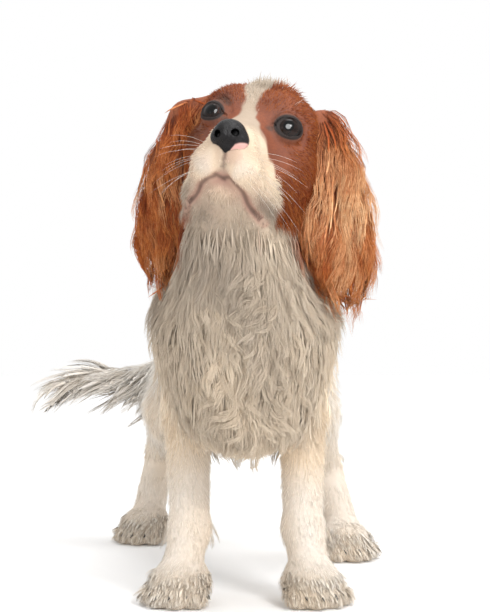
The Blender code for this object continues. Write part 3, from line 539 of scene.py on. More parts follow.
def hollow(piece, cutter):
    """Cuts the cutter's shape out of the piece, and removes the cutter."""
    cut = piece.modifiers.new("hollow", "BOOLEAN")
    cut.operation = "DIFFERENCE"
    cut.solver = "EXACT"
    cut.object = cutter
    graph = bpy.context.evaluated_depsgraph_get()
    mesh = bpy.data.meshes.new_from_object(piece.evaluated_get(graph))
    piece.modifiers.clear()
    piece.data = mesh
    bpy.data.objects.remove(cutter)


def relaxed(flesh, mesh, chosen, rounds):
    """Evens out the mesh where chosen, and keeps it on the surface."""
    points = points_of(mesh)
    ends = np.empty(len(mesh.edges) * 2, np.int32)
    mesh.edges.foreach_get("vertices", ends)
    ends = ends.reshape(-1, 2)
    ends = ends[chosen[ends[:, 0]] | chosen[ends[:, 1]]]
    held = np.bincount(ends.ravel(), minlength=len(points)).astype(float)
    for _ in range(rounds):
        total = np.zeros_like(points)
        for k in range(3):
            total[:, k] = (np.bincount(ends[:, 0], points[ends[:, 1], k], len(points))
                           + np.bincount(ends[:, 1], points[ends[:, 0], k], len(points)))
        middle = total[chosen] / np.maximum(held[chosen], 1)[:, None]
        points[chosen] = flesh.settle(0.4 * points[chosen] + 0.6 * middle, rounds=2)
    set_points(mesh, points)


def unwrap(piece):
    """Lays the piece's own shape out flat, in a map that its coat shares."""
    for other in bpy.context.selected_objects:
        other.select_set(False)
    piece.data.uv_layers.new(name="OFBake")
    bpy.context.view_layer.objects.active = piece
    piece.select_set(True)
    bpy.ops.object.mode_set(mode="EDIT")
    bpy.ops.mesh.select_all(action="SELECT")
    bpy.ops.uv.smart_project(angle_limit=math.radians(70), island_margin=0.004)
    bpy.ops.object.mode_set(mode="OBJECT")
    piece.select_set(False)


class Ground:
    """A skin to sow hairs on: its triangles, their areas and where each lies on the unwrap."""

    def __init__(self, mesh):
        mesh.calc_loop_triangles()
        count = len(mesh.loop_triangles)
        corners, loops = np.empty(count * 3, np.int32), np.empty(count * 3, np.int32)
        mesh.loop_triangles.foreach_get("vertices", corners)
        mesh.loop_triangles.foreach_get("loops", loops)
        points = points_of(mesh)
        flat = np.empty(len(mesh.loops) * 2, np.float32)
        mesh.uv_layers["OFBake"].data.foreach_get("uv", flat)
        self.corners = points[corners.reshape(-1, 3)]
        self.uv = flat.reshape(-1, 2)[loops.reshape(-1, 3)]
        cross = np.cross(self.corners[:, 1] - self.corners[:, 0], self.corners[:, 2] - self.corners[:, 0])
        self.area = np.linalg.norm(cross, axis=1) / 2
        self.middle = self.corners.mean(1)

    def sow(self, count, weight):
        """count places spread over the triangles in proportion to area and weight."""
        share = self.area * weight
        edges = np.cumsum(share) / share.sum()
        pick = np.searchsorted(edges, (np.arange(count) + chance.random(count)) / count)
        pick = np.minimum(pick, len(share) - 1)
        a, b = chance.random(count), chance.random(count)
        over = a + b > 1
        a[over], b[over] = 1 - a[over], 1 - b[over]
        mix = np.stack([1 - a - b, a, b], 1)[:, :, None]
        return (self.corners[pick] * mix).sum(1), (self.uv[pick] * mix).sum(1)


# Hair: many tapered prisms of three sides in one mesh, each along its own row of places

def prisms(name, paths, ups, widths, uv, material, thick=0.55, flare=0.75, values=None):
    """paths is tufts x stations x 3, and the last station is the tip."""
    count, stations = paths.shape[:2]
    rings = stations - 1
    along = np.empty_like(paths[:, :rings])
    along[:, 0] = paths[:, 1] - paths[:, 0]
    along[:, 1:] = paths[:, 2:] - paths[:, :-2]
    along = unit(along)
    across = unit(np.cross(along, ups[:, :rings]))
    above = np.cross(across, along)
    share = np.arange(rings) / rings
    profile = (flare + (1 - flare) * np.sin(np.minimum(share * 2.6, math.pi / 2))) * (1 - 0.72 * share ** 1.6)
    half = 0.5 * widths[:, None] * profile[None]
    corners = np.empty((count, rings * 3 + 1, 3))
    for k, angle in enumerate((math.pi / 2, math.pi * 7 / 6, math.pi * 11 / 6)):
        corners[:, k:rings * 3:3] = (paths[:, :rings] + across * (half * math.cos(angle))[:, :, None]
                                     + above * (half * thick * math.sin(angle))[:, :, None])
    corners[:, rings * 3] = paths[:, -1]
    faces = [(0, 2, 1)]
    for i in range(rings - 1):
        for k in range(3):
            a, b = 3 * i + k, 3 * i + (k + 1) % 3
            faces += [(a, b, b + 3), (a, b + 3, a + 3)]
    last, tip = 3 * (rings - 1), 3 * rings
    faces += [(last + k, last + (k + 1) % 3, tip) for k in range(3)]
    faces = np.array(faces)
    every = (faces[None] + (np.arange(count) * (rings * 3 + 1))[:, None, None]).reshape(-1, 3)
    mesh = mesh_of(name, corners.reshape(-1, 3), every)
    # Each tuft's patch on the unwrap: across it and along it, round its root's place
    place = np.zeros((rings * 3 + 1, 2))
    for i in range(rings):
        for k in range(3):
            place[3 * i + k] = ((k - 1) * 0.5, i / rings - 0.5)
    place[-1] = (0, 0.5)
    patch = np.clip(uv, 0.002, 0.998)[:, None, :] + place[None] * 0.003
    layer = mesh.uv_layers.new(name="OFBake")
    layer.data.foreach_set("uv", patch.reshape(-1, 2)[every.ravel()].astype(np.float32).ravel())
    lengthways = np.append(np.repeat(np.arange(rings) / rings, 3), 1.0)
    paint(mesh, along=np.tile(lengthways, count), shade=np.repeat(chance.random(count), rings * 3 + 1))
    for key, value in (values or {}).items():
        paint(mesh, **{key: np.repeat(value, rings * 3 + 1)})
    # The way the coat faces at the tuft's root: a tuft is shaded partly like the coat it lies in
    facing = np.repeat(unit(above[:, :(rings + 1) // 2].mean(1)), rings * 3 + 1, axis=0)
    layer = mesh.attributes.new("facing", "FLOAT_VECTOR", "POINT")
    layer.data.foreach_set("vector", facing.astype(np.float32).ravel())
    return new_piece(name, mesh, material)


def tangent(lies, outs):
    return unit(lies - outs * (lies * outs).sum(1, keepdims=True))


def flat_tufts(roots, outs, lies, lengths, lifts, stations, sink=0.0012, curl=0.35):
    """Short hair that leaves the skin along its lie and bends back down onto it."""
    lies = tangent(lies, outs)
    paths = np.empty((len(roots), stations, 3))
    at = roots - outs * sink
    heading = unit(lies * np.cos(lifts)[:, None] + outs * np.sin(lifts)[:, None])
    side = np.cross(lies, outs)
    sway = chance.normal(0, 0.16, len(roots))[:, None]
    step = ((lengths + sink) / (stations - 1))[:, None]
    paths[:, 0] = at
    for i in range(1, stations):
        at = at + heading * step
        paths[:, i] = at
        heading = unit(heading - outs * (lifts * curl * 2 / stations)[:, None] + side * sway
                       + np.array((0, 0, -0.05)))
    return paths, np.repeat(outs[:, None], stations, 1)


def hanging_guides(shape, roots, lies, lengths, lifts, stations, low, high, drop, wave, turns, pull=0.5,
                   rise=0.003):
    """Long locks that run along the skin no closer than low nor further than high, fall and wave.

    low, high, drop, wave and pull may be one number or one for each lock; turns is waves over the length.
    """
    count = len(roots)
    full = lambda v: np.broadcast_to(np.asarray(v, float), (count,))
    low, high, drop, wave, turns, pull = (full(v) for v in (low, high, drop, wave, turns, pull))
    outs = shape.normals(roots)
    lies = tangent(lies, outs)
    heading = unit(lies * np.cos(lifts)[:, None] + outs * np.sin(lifts)[:, None])
    step = (lengths / (stations - 1))[:, None]
    at, paths, ups = roots.copy(), [roots], [outs]
    for i in range(1, stations):
        share = i / (stations - 1)
        at = at + heading * step
        distance, gradient = shape.field(at)
        outs = unit(gradient)
        bottom, top = low * min(share * 3, 1), rise + high * share
        bound = np.clip(distance, bottom, top)
        move = outs * np.clip(bound - distance, -0.8 * step[:, 0], 0.7 * step[:, 0])[:, None]
        # Hair that hangs past an edge isn't drawn back along its own length
        back = np.minimum((move * heading).sum(1), 0)[:, None] * (bound < distance)[:, None]
        at = at + move - heading * back
        heading = unit(at - paths[-1])
        heading = unit(heading - outs * (pull * lifts * 0.25)[:, None]
                       + np.array((0, 0, -1.0)) * (drop / (stations - 1))[:, None])
        paths.append(at)
        ups.append(outs)
    paths, ups = np.stack(paths, 1), np.stack(ups, 1)
    for _ in range(2):
        paths[:, 1:-1] = (paths[:, :-2] + 2 * paths[:, 1:-1] + paths[:, 2:]) / 4
    along = unit(np.gradient(paths, axis=1))
    side = unit(np.cross(along, ups))
    up = np.cross(side, along)
    share = np.linspace(0, 1, stations)[None]
    # Neighbours wave together, so that the coat falls in broad waves and not in separate curls
    phase = (7 * ripple(roots, 0.045) + chance.normal(0, 0.55, count))[:, None]
    hand = np.where(ripple(roots + 0.5, 0.060) < 0, 1.0, -1.0)[:, None]
    swing = wave[:, None] * np.minimum(share * 2.2, 1.0) * (0.6 + 0.9 * share)
    turn = phase + hand * 2 * math.pi * turns[:, None] * share
    paths = paths + side * (swing * (np.sin(turn) - np.sin(phase)))[:, :, None] \
        + up * (swing * 0.55 * (np.cos(turn) + 1))[:, :, None]
    return paths, up


def strands(guides, ups, count, width, stray=0.12, tighten=0.75, flat=0.5, short=0.25):
    """count strands in each lock: they start spread over its width and gather towards its tip."""
    locks, stations = guides.shape[:2]
    share = np.linspace(0, 1, stations)
    along = unit(np.gradient(guides, axis=1))
    side = unit(np.cross(along, ups))
    up = np.cross(side, along)
    angle = chance.uniform(0, 2 * math.pi, (locks, count))
    radius = np.sqrt(chance.random((locks, count)))
    u, v = radius * np.cos(angle), radius * np.sin(angle)
    gather = (1 - tighten * share ** 1.4)[None, None]
    width = np.broadcast_to(np.asarray(width, float), (locks,))[:, None, None]
    wobble = chance.normal(0, stray, (2, locks, count, 1)) * np.sin(
        2 * math.pi * (share[None, None] * chance.uniform(0.7, 1.6, (locks, count, 1))
                       + chance.random((locks, count, 1))))
    across = width * 0.5 * (u[:, :, None] * gather + wobble[0] * share[None, None])
    lifted = width * 0.5 * flat * (v[:, :, None] * gather + wobble[1] * share[None, None] + 0.15)
    paths = (guides[:, None] + side[:, None] * across[..., None] + up[:, None] * lifted[..., None])
    # Some strands stop short of the lock's tip
    cut = 1 - short * chance.random((locks, count)) ** 1.5
    at = share[None, None] * cut[:, :, None] * (stations - 1)
    i = np.minimum(at.astype(int), stations - 2)
    t = (at - i)[..., None]
    first = np.take_along_axis(paths, np.repeat(i[..., None], 3, 3), 2)
    second = np.take_along_axis(paths, np.repeat(i[..., None] + 1, 3, 3), 2)
    paths = first * (1 - t) + second * t
    ups = np.repeat(up[:, None], count, 1)
    return paths.reshape(locks * count, stations, 3), ups.reshape(locks * count, stations, 3)


FLESH, LIPS, GROOVE = whole_flesh()

# Where the coat is red, long, short or bare, in the dog's own frame

WAVES = chance.normal(0, 1, (10, 3))
WAVE_PHASES = chance.uniform(0, 2 * math.pi, 10)
# Half widths of the white at heights in the head's frame: alike over the muzzle, unlike over the brow. They
# are rounded from places of the photo that a scratch script cast onto the head.
BLAZE_MUZZLE = ((-0.057, 0.0365), (-0.044, 0.0330), (-0.018, 0.0200))
BLAZE_BROW = {
    "left": ((0.0085, 0.0020), (0.018, 0), (0.029, 0), (0.050, 0.0110)),
    "right": ((-0.001, 0.0085), (0.0085, 0.0070), (0.018, 0.0090), (0.029, 0.0150), (0.040, 0.0180),
              (0.050, 0.0190)),
}
SADDLE = [((0.062, 0.090, 0.262), (0.050, 0.050, 0.046)), ((-0.058, 0.095, 0.262), (0.050, 0.050, 0.046)),
          ((0.000, 0.100, 0.292), (0.060, 0.060, 0.036)), ((0.000, 0.245, 0.290), (0.050, 0.036, 0.040))]
LIP_SPOT = np.array((0.0148, -0.0620, -0.0528))


def ripple(points, size):
    """Smooth noise between about -1 and 1, whose waves are about size long."""
    waves = np.sin(points @ (WAVES / size * 2.2).T + WAVE_PHASES)
    return waves.sum(1) / 3.2


def head_share(points):
    """1 on the head, 0 from the neck down."""
    at = in_head(points)
    beyond = (at[:, 2] + 0.074) - 0.45 * (at[:, 1] + 0.010)
    return smooth(-0.006, 0.006, beyond) * smooth(0.10, 0.085, np.linalg.norm(at, axis=1))


def tail_share(points):
    route = smooth_route(TAIL_PATH, 40)[8:]
    near = np.sqrt(((points[:, None] - route[None]) ** 2).sum(2).min(1))
    return smooth(0.030, 0.024, near)


def leg_share(points):
    side = np.abs(points[:, 0])
    fore = (points[:, 2] - 0.142) - 0.42 * (side - 0.030)
    hind = (points[:, 2] - 0.175) - 0.50 * (side - 0.030) + 0.10 * (points[:, 1] - 0.230)
    return smooth(0.010, -0.006, np.where(points[:, 1] < 0.105, fore, hind)) * smooth(0.012, 0.020, side)


def blaze_width(height, side):
    heights, widths = zip(*BLAZE_MUZZLE, *BLAZE_BROW[side])
    return np.interp(height, heights, widths)


def redness(points):
    """1 where the coat is red, 0 where it is white."""
    at = in_head(points + 0.0012 * ripple(points, 0.008)[:, None])
    close = 1 - smooth(0.015, 0.055, at[:, 1])
    edge = np.where(at[:, 0] > 0, blaze_width(at[:, 2], "left"), blaze_width(at[:, 2], "right")) * close
    beyond = np.abs(at[:, 0]) - edge
    low = at[:, 2] - (-0.078 + 0.42 * (at[:, 1] + 0.037) + 0.5 * np.maximum(at[:, 1] - 0.040, 0))
    head = smooth(-0.0010, 0.0016, beyond) * smooth(-0.002, 0.003, low) * head_share(points)
    body = np.zeros(len(points))
    for centre, radii in SADDLE:
        away = np.linalg.norm((points - centre) / radii, axis=1) + 0.12 * ripple(points, 0.030)
        body = np.maximum(body, smooth(1.06, 0.96, away))
    # Under the ears the sides of the neck are red as well
    beside = np.abs(points[:, 0] + 0.010) - (0.031 + 0.9 * np.maximum(0.312 - points[:, 2], 0)) \
        + 0.004 * ripple(points, 0.016)
    body = np.maximum(body, smooth(-0.002, 0.003, beside) * smooth(0.276, 0.290, points[:, 2]))
    return np.maximum(head, body * (1 - head_share(points)))


def eye_distance(points):
    at = in_head(points)
    return np.minimum(*(np.linalg.norm(at - EYE_AT * (s, 1, 1), axis=1) for s in SIDES.values()))


def route_distance(points, route):
    route = np.array(route, float)
    best = np.full(len(points), 1e9)
    for a, b in zip(route[:-1], route[1:]):
        axis = b - a
        along = np.clip(((points - a) @ axis) / max(axis @ axis, 1e-12), 0, 1)
        best = np.minimum(best, np.linalg.norm(points - a - along[:, None] * axis, axis=1))
    return best


def mouth_distance(points):
    return np.minimum(*(route_distance(points, lip) for lip in LIPS.values()))


def lid_distance(points):
    at = in_head(points)
    return np.where(at[:, 0] > 0, route_distance(at, lid_ring("left")), route_distance(at, lid_ring("right")))


# Darker places of the face, in the head's frame: painted shade over the right brow and on both cheeks, and the
# tear lines
SHADE_AND_TEAR_PATCHES = (((-0.0245, -0.0405, 0.0110), (0.0085, 0.02, 0.0055), 0.70),
                ((-0.0190, -0.0470, -0.0040), (0.0040, 0.02, 0.0030), 0.75),
                ((0.0185, -0.0480, -0.0040), (0.0040, 0.02, 0.0028), 0.75),
                ((-0.0400, -0.0300, -0.0150), (0.0100, 0.03, 0.0130), 0.45),
                ((0.0300, -0.0340, -0.0640), (0.0090, 0.03, 0.0060), 0.35))


def face_marks(points):
    """How dark, how pink and how creamed each point is: rims, lips, the skin under the nose, and painted shade
    on brows, cheeks, mouth, jaw and the head's white.
    """
    at = in_head(points)
    mouth = mouth_distance(points)
    on = head_share(points)
    lids = lid_distance(points)
    dark = 0.90 * smooth(0.0034, 0.0020, lids) * on
    # A wider ring of painted shade round each eye, outside the dark rims
    dark = np.maximum(dark, 0.30 * smooth(0.0090, 0.0030, lids) * on)
    dark = np.maximum(dark, 0.80 * smooth(0.0019, 0.0008, route_distance(points, GROOVE)) * on)
    # Painted shade on the right brow and both cheeks; the tear lines are the coat's own
    for place, size, share in SHADE_AND_TEAR_PATCHES:
        dark = np.maximum(dark, share * smooth(1.2, 0.5, np.linalg.norm((at - place) / size, axis=1)) * on)
    spot = np.linalg.norm(at - LIP_SPOT, axis=1)
    dark = np.maximum(dark, 0.75 * smooth(0.0034, 0.0016, spot) * on)
    under = np.linalg.norm((at - (0.0062, -0.0740, -0.0410)) / (0.0090, 0.02, 0.0085), axis=1)
    # Along the lips the dark is partly their own blotched pigment and partly painted shade in the seam, deepest
    # towards the corners
    corner = smooth(0.0190, 0.0280, np.abs(at[:, 0]))
    blotch = 0.5 + 0.5 * np.clip(ripple(points, 0.006), -1, 1)
    dark = np.maximum(dark, (0.34 + 0.22 * blotch + 0.42 * corner) * smooth(0.0032, 0.0010, mouth) * on)
    chin = np.linalg.norm((at - (0, -0.056, -0.060)) / (0.020, 0.030, 0.014), axis=1)
    pink = np.maximum(0.5 * smooth(1.25, 0.5, under), 0.70 * smooth(0.0066, 0.0015, mouth))
    pink = np.maximum(pink, 0.85 * smooth(1.3, 0.2, chin))
    muzzle = smooth(-0.038, -0.050, at[:, 1]) * smooth(-0.024, -0.034, at[:, 2])
    pink = np.maximum(pink, muzzle * (0.14 + 0.10 * ripple(points, 0.008))) * on
    jaw = np.linalg.norm((at - (0, -0.040, -0.074)) / (0.034, 0.040, 0.020), axis=1)
    # Round the mouth the white is creamed, and under the jaw it runs on into painted shade
    stain = np.maximum(0.85 * smooth(1.3, 0.5, jaw), 0.5 * smooth(0.012, 0.004, mouth)) * on
    # The flanks of the muzzle are spared most of the painted shade laid over the head: painted whitest, as
    # where the light falls
    lit_flank = smooth(0.003, 0.012, np.abs(at[:, 0])) * smooth(-0.008, -0.022, at[:, 2])
    lit_flank *= smooth(-0.064, -0.050, at[:, 2]) * (1 - redness(points))
    # Painted shade under the lower lip and jaw
    dark = np.maximum(dark, 0.13 * smooth(1.3, 0.6, jaw) * on)
    # Over the whole head the cream ramp lays painted shade on the coat, less on the flanks
    return dark, pink, np.maximum(stain * (1 - 0.4 * lit_flank), (0.95 - 0.42 * lit_flank) * on)


def white_cream_and_shade(points):
    """How creamy the white is, most on throat, chest and feet; high on throat and chest it runs on into painted
    shade.
    """
    front = smooth(0.060, -0.020, points[:, 1]) * smooth(0.080, 0.150, points[:, 2])
    front *= smooth(0.36, 0.32, points[:, 2])
    leg = smooth(0.175, 0.150, points[:, 2]) * smooth(0.030, 0.045, points[:, 2])
    foot = smooth(0.034, 0.018, points[:, 2])
    # Painted shade high on the throat, under the head
    high = front * smooth(0.225, 0.275, points[:, 2])
    tail = tail_share(points)
    cream_and_shade_mix = 0.14 + 0.58 * front + 0.18 * high + 0.04 * leg + 0.12 * foot + 0.08 * ripple(points, 0.035)
    return np.clip(cream_and_shade_mix * (1 - 0.7 * tail), 0, 1)


# How the coat lies: a point, the way it runs there, its length and how far it stands off
HEAD_GROOM = [
    ((0, -0.070, -0.012), (0, 0.9, 0.35), 0.0035, 0.22), ((0, -0.050, -0.004), (0, 0.85, 0.5), 0.0042, 0.22),
    ((0.016, -0.074, -0.034), (0.6, 0.75, -0.2), 0.0045, 0.30),
    ((0.006, -0.078, -0.046), (0.5, 0.3, -0.8), 0.0035, 0.30),
    ((0.020, -0.062, -0.050), (0.45, 0.75, -0.45), 0.0065, 0.32),
    ((0.030, -0.035, -0.062), (0.3, 0.75, -0.6), 0.0085, 0.32),
    ((0, -0.060, -0.070), (0, 0.6, -0.8), 0.0065, 0.40),
    ((0.012, -0.040, -0.078), (0.1, 0.6, -0.8), 0.0090, 0.40),
    ((0, -0.010, -0.082), (0, 0.35, -0.94), 0.0200, 0.40),
    ((0.030, -0.050, -0.022), (0.55, 0.80, -0.10), 0.0050, 0.25),
    ((0.020, -0.060, -0.018), (0.5, 0.80, 0.15), 0.0045, 0.25),
    ((0.045, -0.022, -0.022), (0.45, 0.80, -0.35), 0.0075, 0.25),
    ((0, -0.040, 0.012), (0, 0.3, 1), 0.0042, 0.28), ((0, -0.034, 0.030), (0, 0.5, 0.9), 0.0060, 0.30),
    ((0, -0.015, 0.044), (0, 0.85, 0.5), 0.0120, 0.70), ((0, 0.012, 0.048), (0, 1, 0.1), 0.0140, 0.65),
    ((0.018, -0.036, 0.020), (0.25, 0.3, 0.9), 0.0050, 0.28),
    ((0.034, -0.030, 0.018), (0.6, 0.5, 0.6), 0.0060, 0.28),
    ((0.044, -0.014, 0.010), (0.5, 0.9, 0.0), 0.0075, 0.25),
    ((0.036, 0, 0.034), (0.5, 0.8, 0.2), 0.0110, 0.3),
    ((0.048, 0.010, -0.020), (0.3, 0.7, -0.6), 0.0120, 0.30),
    ((0.040, 0.000, -0.050), (0.25, 0.6, -0.75), 0.0150, 0.32),
    ((0, 0.050, 0.030), (0, 0.8, -0.6), 0.0180, 0.28), ((0.03, 0.045, 0.020), (0.2, 0.7, -0.7), 0.018, 0.28),
    ((0, 0.062, -0.010), (0, 0.3, -0.95), 0.0220, 0.25),
    ((0.035, 0.050, -0.030), (0.1, 0.4, -0.9), 0.0200, 0.25),
]
BODY_GROOM = [
    ((0, 0.040, 0.330), (0, 0.35, -0.94), 0.0240, 0.25),
    ((0.05, 0.010, 0.310), (0.1, 0.3, -0.95), 0.0260, 0.25),
    ((0, 0.060, 0.300), (0, 0.8, -0.6), 0.0240, 0.25), ((0, 0.110, 0.294), (0, 1, -0.1), 0.0230, 0.22),
    ((0, 0.170, 0.290), (0, 1, -0.1), 0.0230, 0.22), ((0, 0.230, 0.288), (0, 0.95, -0.3), 0.0250, 0.25),
    ((0, 0.300, 0.255), (0, 0.6, -0.8), 0.0260, 0.30),
    ((0.045, 0.285, 0.235), (0.15, 0.5, -0.85), 0.028, 0.30),
    ((0.050, 0.000, 0.250), (0.1, 0.4, -0.9), 0.0260, 0.25),
    ((0.06, 0.03, 0.22), (0.1, 0.5, -0.85), 0.024, 0.25),
    ((0.065, 0.080, 0.230), (0.05, 0.7, -0.7), 0.0260, 0.25),
    ((0.068, 0.11, 0.20), (0, 0.6, -0.8), 0.028, 0.3),
    ((0.055, 0.120, 0.165), (0, 0.6, -0.8), 0.0320, 0.35),
    ((0.05, 0.19, 0.23), (0.05, 0.8, -0.55), 0.026, 0.25),
    ((0.040, 0.190, 0.185), (0, 0.6, -0.8), 0.0320, 0.30), ((0, 0.100, 0.140), (0, 0.7, -0.7), 0.0300, 0.35),
    ((0, -0.060, 0.220), (0, 0, -1), 0.0280, 0.30), ((0.05, -0.04, 0.20), (0.1, 0.2, -1), 0.0280, 0.30),
    ((0.070, 0.215, 0.200), (0.1, 0.35, -0.93), 0.0220, 0.25),
    ((0.075, 0.20, 0.15), (0.05, 0.2, -1), 0.017, 0.22),
    ((0.050, 0.285, 0.180), (0, 0.5, -0.85), 0.0280, 0.32),
]


def mirrored(guides):
    """The guides with those beside the middle plane repeated on the other side."""
    for point, lie, length, lift in guides:
        for s in (1, -1) if point[0] else (1,):
            yield np.array(point) * (s, 1, 1), np.array(lie) * (s, 1, 1), length, lift


def paw_guides(paw, turn_deg, top):
    ahead, beside, _ = paw_axes(turn_deg)
    down = np.array((0, 0, -0.7))
    return [(paw + (0, 0, top), ahead + (0, 0, -0.5), 0.0095, 0.30),
            (paw + beside * 0.020, ahead * 0.6 + beside * 0.5 + down, 0.0095, 0.30),
            (paw - beside * 0.020, ahead * 0.6 - beside * 0.5 + down, 0.0095, 0.30),
            (paw + ahead * 0.026, ahead + (0, 0, -0.9), 0.0085, 0.30)]


def groom_table():
    """Every guide in the dog's frame: place, lie, length and lift."""
    rows = [(on_head(point), HEAD_TURN @ lie, length, lift)
            for point, lie, length, lift in mirrored(HEAD_GROOM)]
    rows += list(mirrored(BODY_GROOM))
    for side, s in SIDES.items():
        elbow, wrist, paw = (np.array(FORELEG[side][k]) for k in ("elbow", "wrist", "paw"))
        rows += [(elbow + (s * 0.020, 0, 0), (0.05 * s, 0.4, -0.9), 0.0160, 0.25),
                 ((elbow + wrist) / 2 + (0, -0.020, 0), (0, 0.1, -1), 0.0095, 0.22),
                 ((elbow + wrist) / 2 + (s * 0.018, 0, 0), (0, 0.35, -1), 0.0110, 0.22),
                 ((elbow + wrist) / 2 + (-s * 0.018, 0, 0), (0, 0.35, -1), 0.0110, 0.22),
                 (wrist + (0, -0.016, 0), (0, -0.1, -1), 0.0085, 0.22),
                 ((elbow + wrist) / 2 + (0, 0.020, 0), (0, 0.6, -0.8), 0.0160, 0.35)]
        rows += paw_guides(paw, s * FORELEG[side]["turn"], 0.022)
        stifle, hock, paw = (np.array(HINDLEG[side][k]) for k in ("stifle", "hock", "paw"))
        rows += [(stifle + (s * 0.010, -0.025, 0), (0.1 * s, 0.1, -1), 0.0150, 0.22),
                 ((stifle + hock) / 2 + (s * 0.018, 0, 0), (0, 0.4, -0.9), 0.0130, 0.22),
                 ((stifle + hock) / 2 + (-s * 0.018, 0, 0), (0, 0.4, -0.9), 0.0130, 0.22),
                 (hock + (0, -0.012, 0), (0, 0.1, -1), 0.0100, 0.22),
                 ((hock + paw) / 2 + (0, 0.014, 0), (0, 0.1, -1), 0.0110, 0.25),
                 ((hock + paw) / 2 + (0, -0.014, 0), (0, -0.3, -1), 0.0085, 0.22)]
        rows += paw_guides(paw, s * HINDLEG[side]["turn"], 0.020)
    route = smooth_route(TAIL_PATH, 13)
    for i in range(2, 12):
        ahead = unit(route[i + 1] - route[i - 1])
        rows.append((route[i], ahead + (0, 0, -0.15), 0.0200, 0.25))
    places, lies, lengths, lifts = zip(*rows)
    return np.array(places), unit(np.array(lies)), np.array(lengths), np.array(lifts)


GUIDE_AT, GUIDE_LIE, GUIDE_LENGTH, GUIDE_LIFT = groom_table()


def groom(points):
    """The lie, length and lift of the coat at each point, from the guides near it."""
    away = ((points[:, None] - GUIDE_AT[None]) ** 2).sum(2)
    weight = 1 / (away + 0.006 ** 2) ** 2.2
    weight /= weight.sum(1, keepdims=True)
    on = head_share(points)
    short = np.minimum(0.35 + 0.65 * smooth(0.0030, 0.0110, mouth_distance(points)),
                       0.45 + 0.55 * smooth(0.0020, 0.0090, lid_distance(points)))
    return weight @ GUIDE_LIE, (weight @ GUIDE_LENGTH) * (1 - on + on * short), weight @ GUIDE_LIFT


def coat_depth(points):
    """How deep the skin lies under the solids' surface."""
    at = in_head(points)
    face = 0.0006 + 0.0026 * smooth(0.030, 0.085, np.linalg.norm(at - (0, -0.060, -0.030), axis=1))
    front = smooth(0.035, -0.015, points[:, 1]) * smooth(0.110, 0.150, points[:, 2])
    body = 0.0010 + 0.0042 * smooth(0.030, 0.200, points[:, 2]) * (1 - 0.8 * front)
    on = head_share(points)
    face = face * smooth(0.0020, 0.0080, lid_distance(points))
    return (face * on + body * (1 - on)) * (1 - 0.75 * tail_share(points))


# Materials: every colour comes from the markings and painted shade stored on skin and coat, and from noise

def shaded(name, roughness, specular, coat=0.0, coat_roughness=0.05):
    made = bpy.data.materials.new(name)
    made.use_nodes = True
    surface = made.node_tree.nodes["Principled BSDF"]
    surface.inputs["Roughness"].default_value = roughness
    surface.inputs["Specular IOR Level"].default_value = specular
    surface.inputs["Coat Weight"].default_value = coat
    surface.inputs["Coat Roughness"].default_value = coat_roughness
    return made, made.node_tree, surface


def attribute(tree, name):
    node = tree.nodes.new("ShaderNodeAttribute")
    node.attribute_name = name
    return node.outputs["Fac"]


def noise(tree, scale, detail=3.0):
    place = tree.nodes.new("ShaderNodeTexCoord")
    node = tree.nodes.new("ShaderNodeTexNoise")
    node.inputs["Scale"].default_value = scale
    node.inputs["Detail"].default_value = detail
    tree.links.new(place.outputs["Object"], node.inputs["Vector"])
    return node.outputs["Fac"]


def ramp(tree, factor, stops):
    node = tree.nodes.new("ShaderNodeValToRGB")
    band = node.color_ramp
    while len(band.elements) < len(stops):
        band.elements.new(0.5)
    for element, (place, colour) in zip(band.elements, stops):
        element.position = place
        element.color = (*colour, 1)
    tree.links.new(factor, node.inputs["Fac"])
    return node.outputs["Color"]


def mixed(tree, factor, a, b, blend="MIX"):
    node = tree.nodes.new("ShaderNodeMix")
    node.data_type = "RGBA"
    node.blend_type = blend
    for socket, value in ((node.inputs["Factor"], factor), (node.inputs["A"], a), (node.inputs["B"], b)):
        if isinstance(value, bpy.types.NodeSocket):
            tree.links.new(value, socket)
        elif isinstance(value, tuple):
            socket.default_value = (*value, 1)
        else:
            socket.default_value = value
    return node.outputs["Result"]


def summed(tree, a, b, share=0.5):
    node = tree.nodes.new("ShaderNodeMath")
    node.operation = "MULTIPLY_ADD"
    tree.links.new(a, node.inputs[0])
    node.inputs[1].default_value = share
    tree.links.new(b, node.inputs[2])
    return node.outputs[0]


def level(tree, number):
    node = tree.nodes.new("ShaderNodeValue")
    node.outputs[0].default_value = number
    return node.outputs[0]


def vector_math(tree, operation, *inputs):
    node = tree.nodes.new("ShaderNodeVectorMath")
    node.operation = operation
    for source, socket in zip(inputs, node.inputs):
        tree.links.new(source, socket)
    return node


def bumped(tree, surface, height, strength, distance):
    node = tree.nodes.new("ShaderNodeBump")
    node.inputs["Strength"].default_value = strength
    node.inputs["Distance"].default_value = distance
    tree.links.new(height, node.inputs["Height"])
    tree.links.new(node.outputs["Normal"], surface.inputs["Normal"])


def linear(r, g, b):
    return tuple(((c / 255 + 0.055) / 1.055) ** 2.4 for c in (r, g, b))


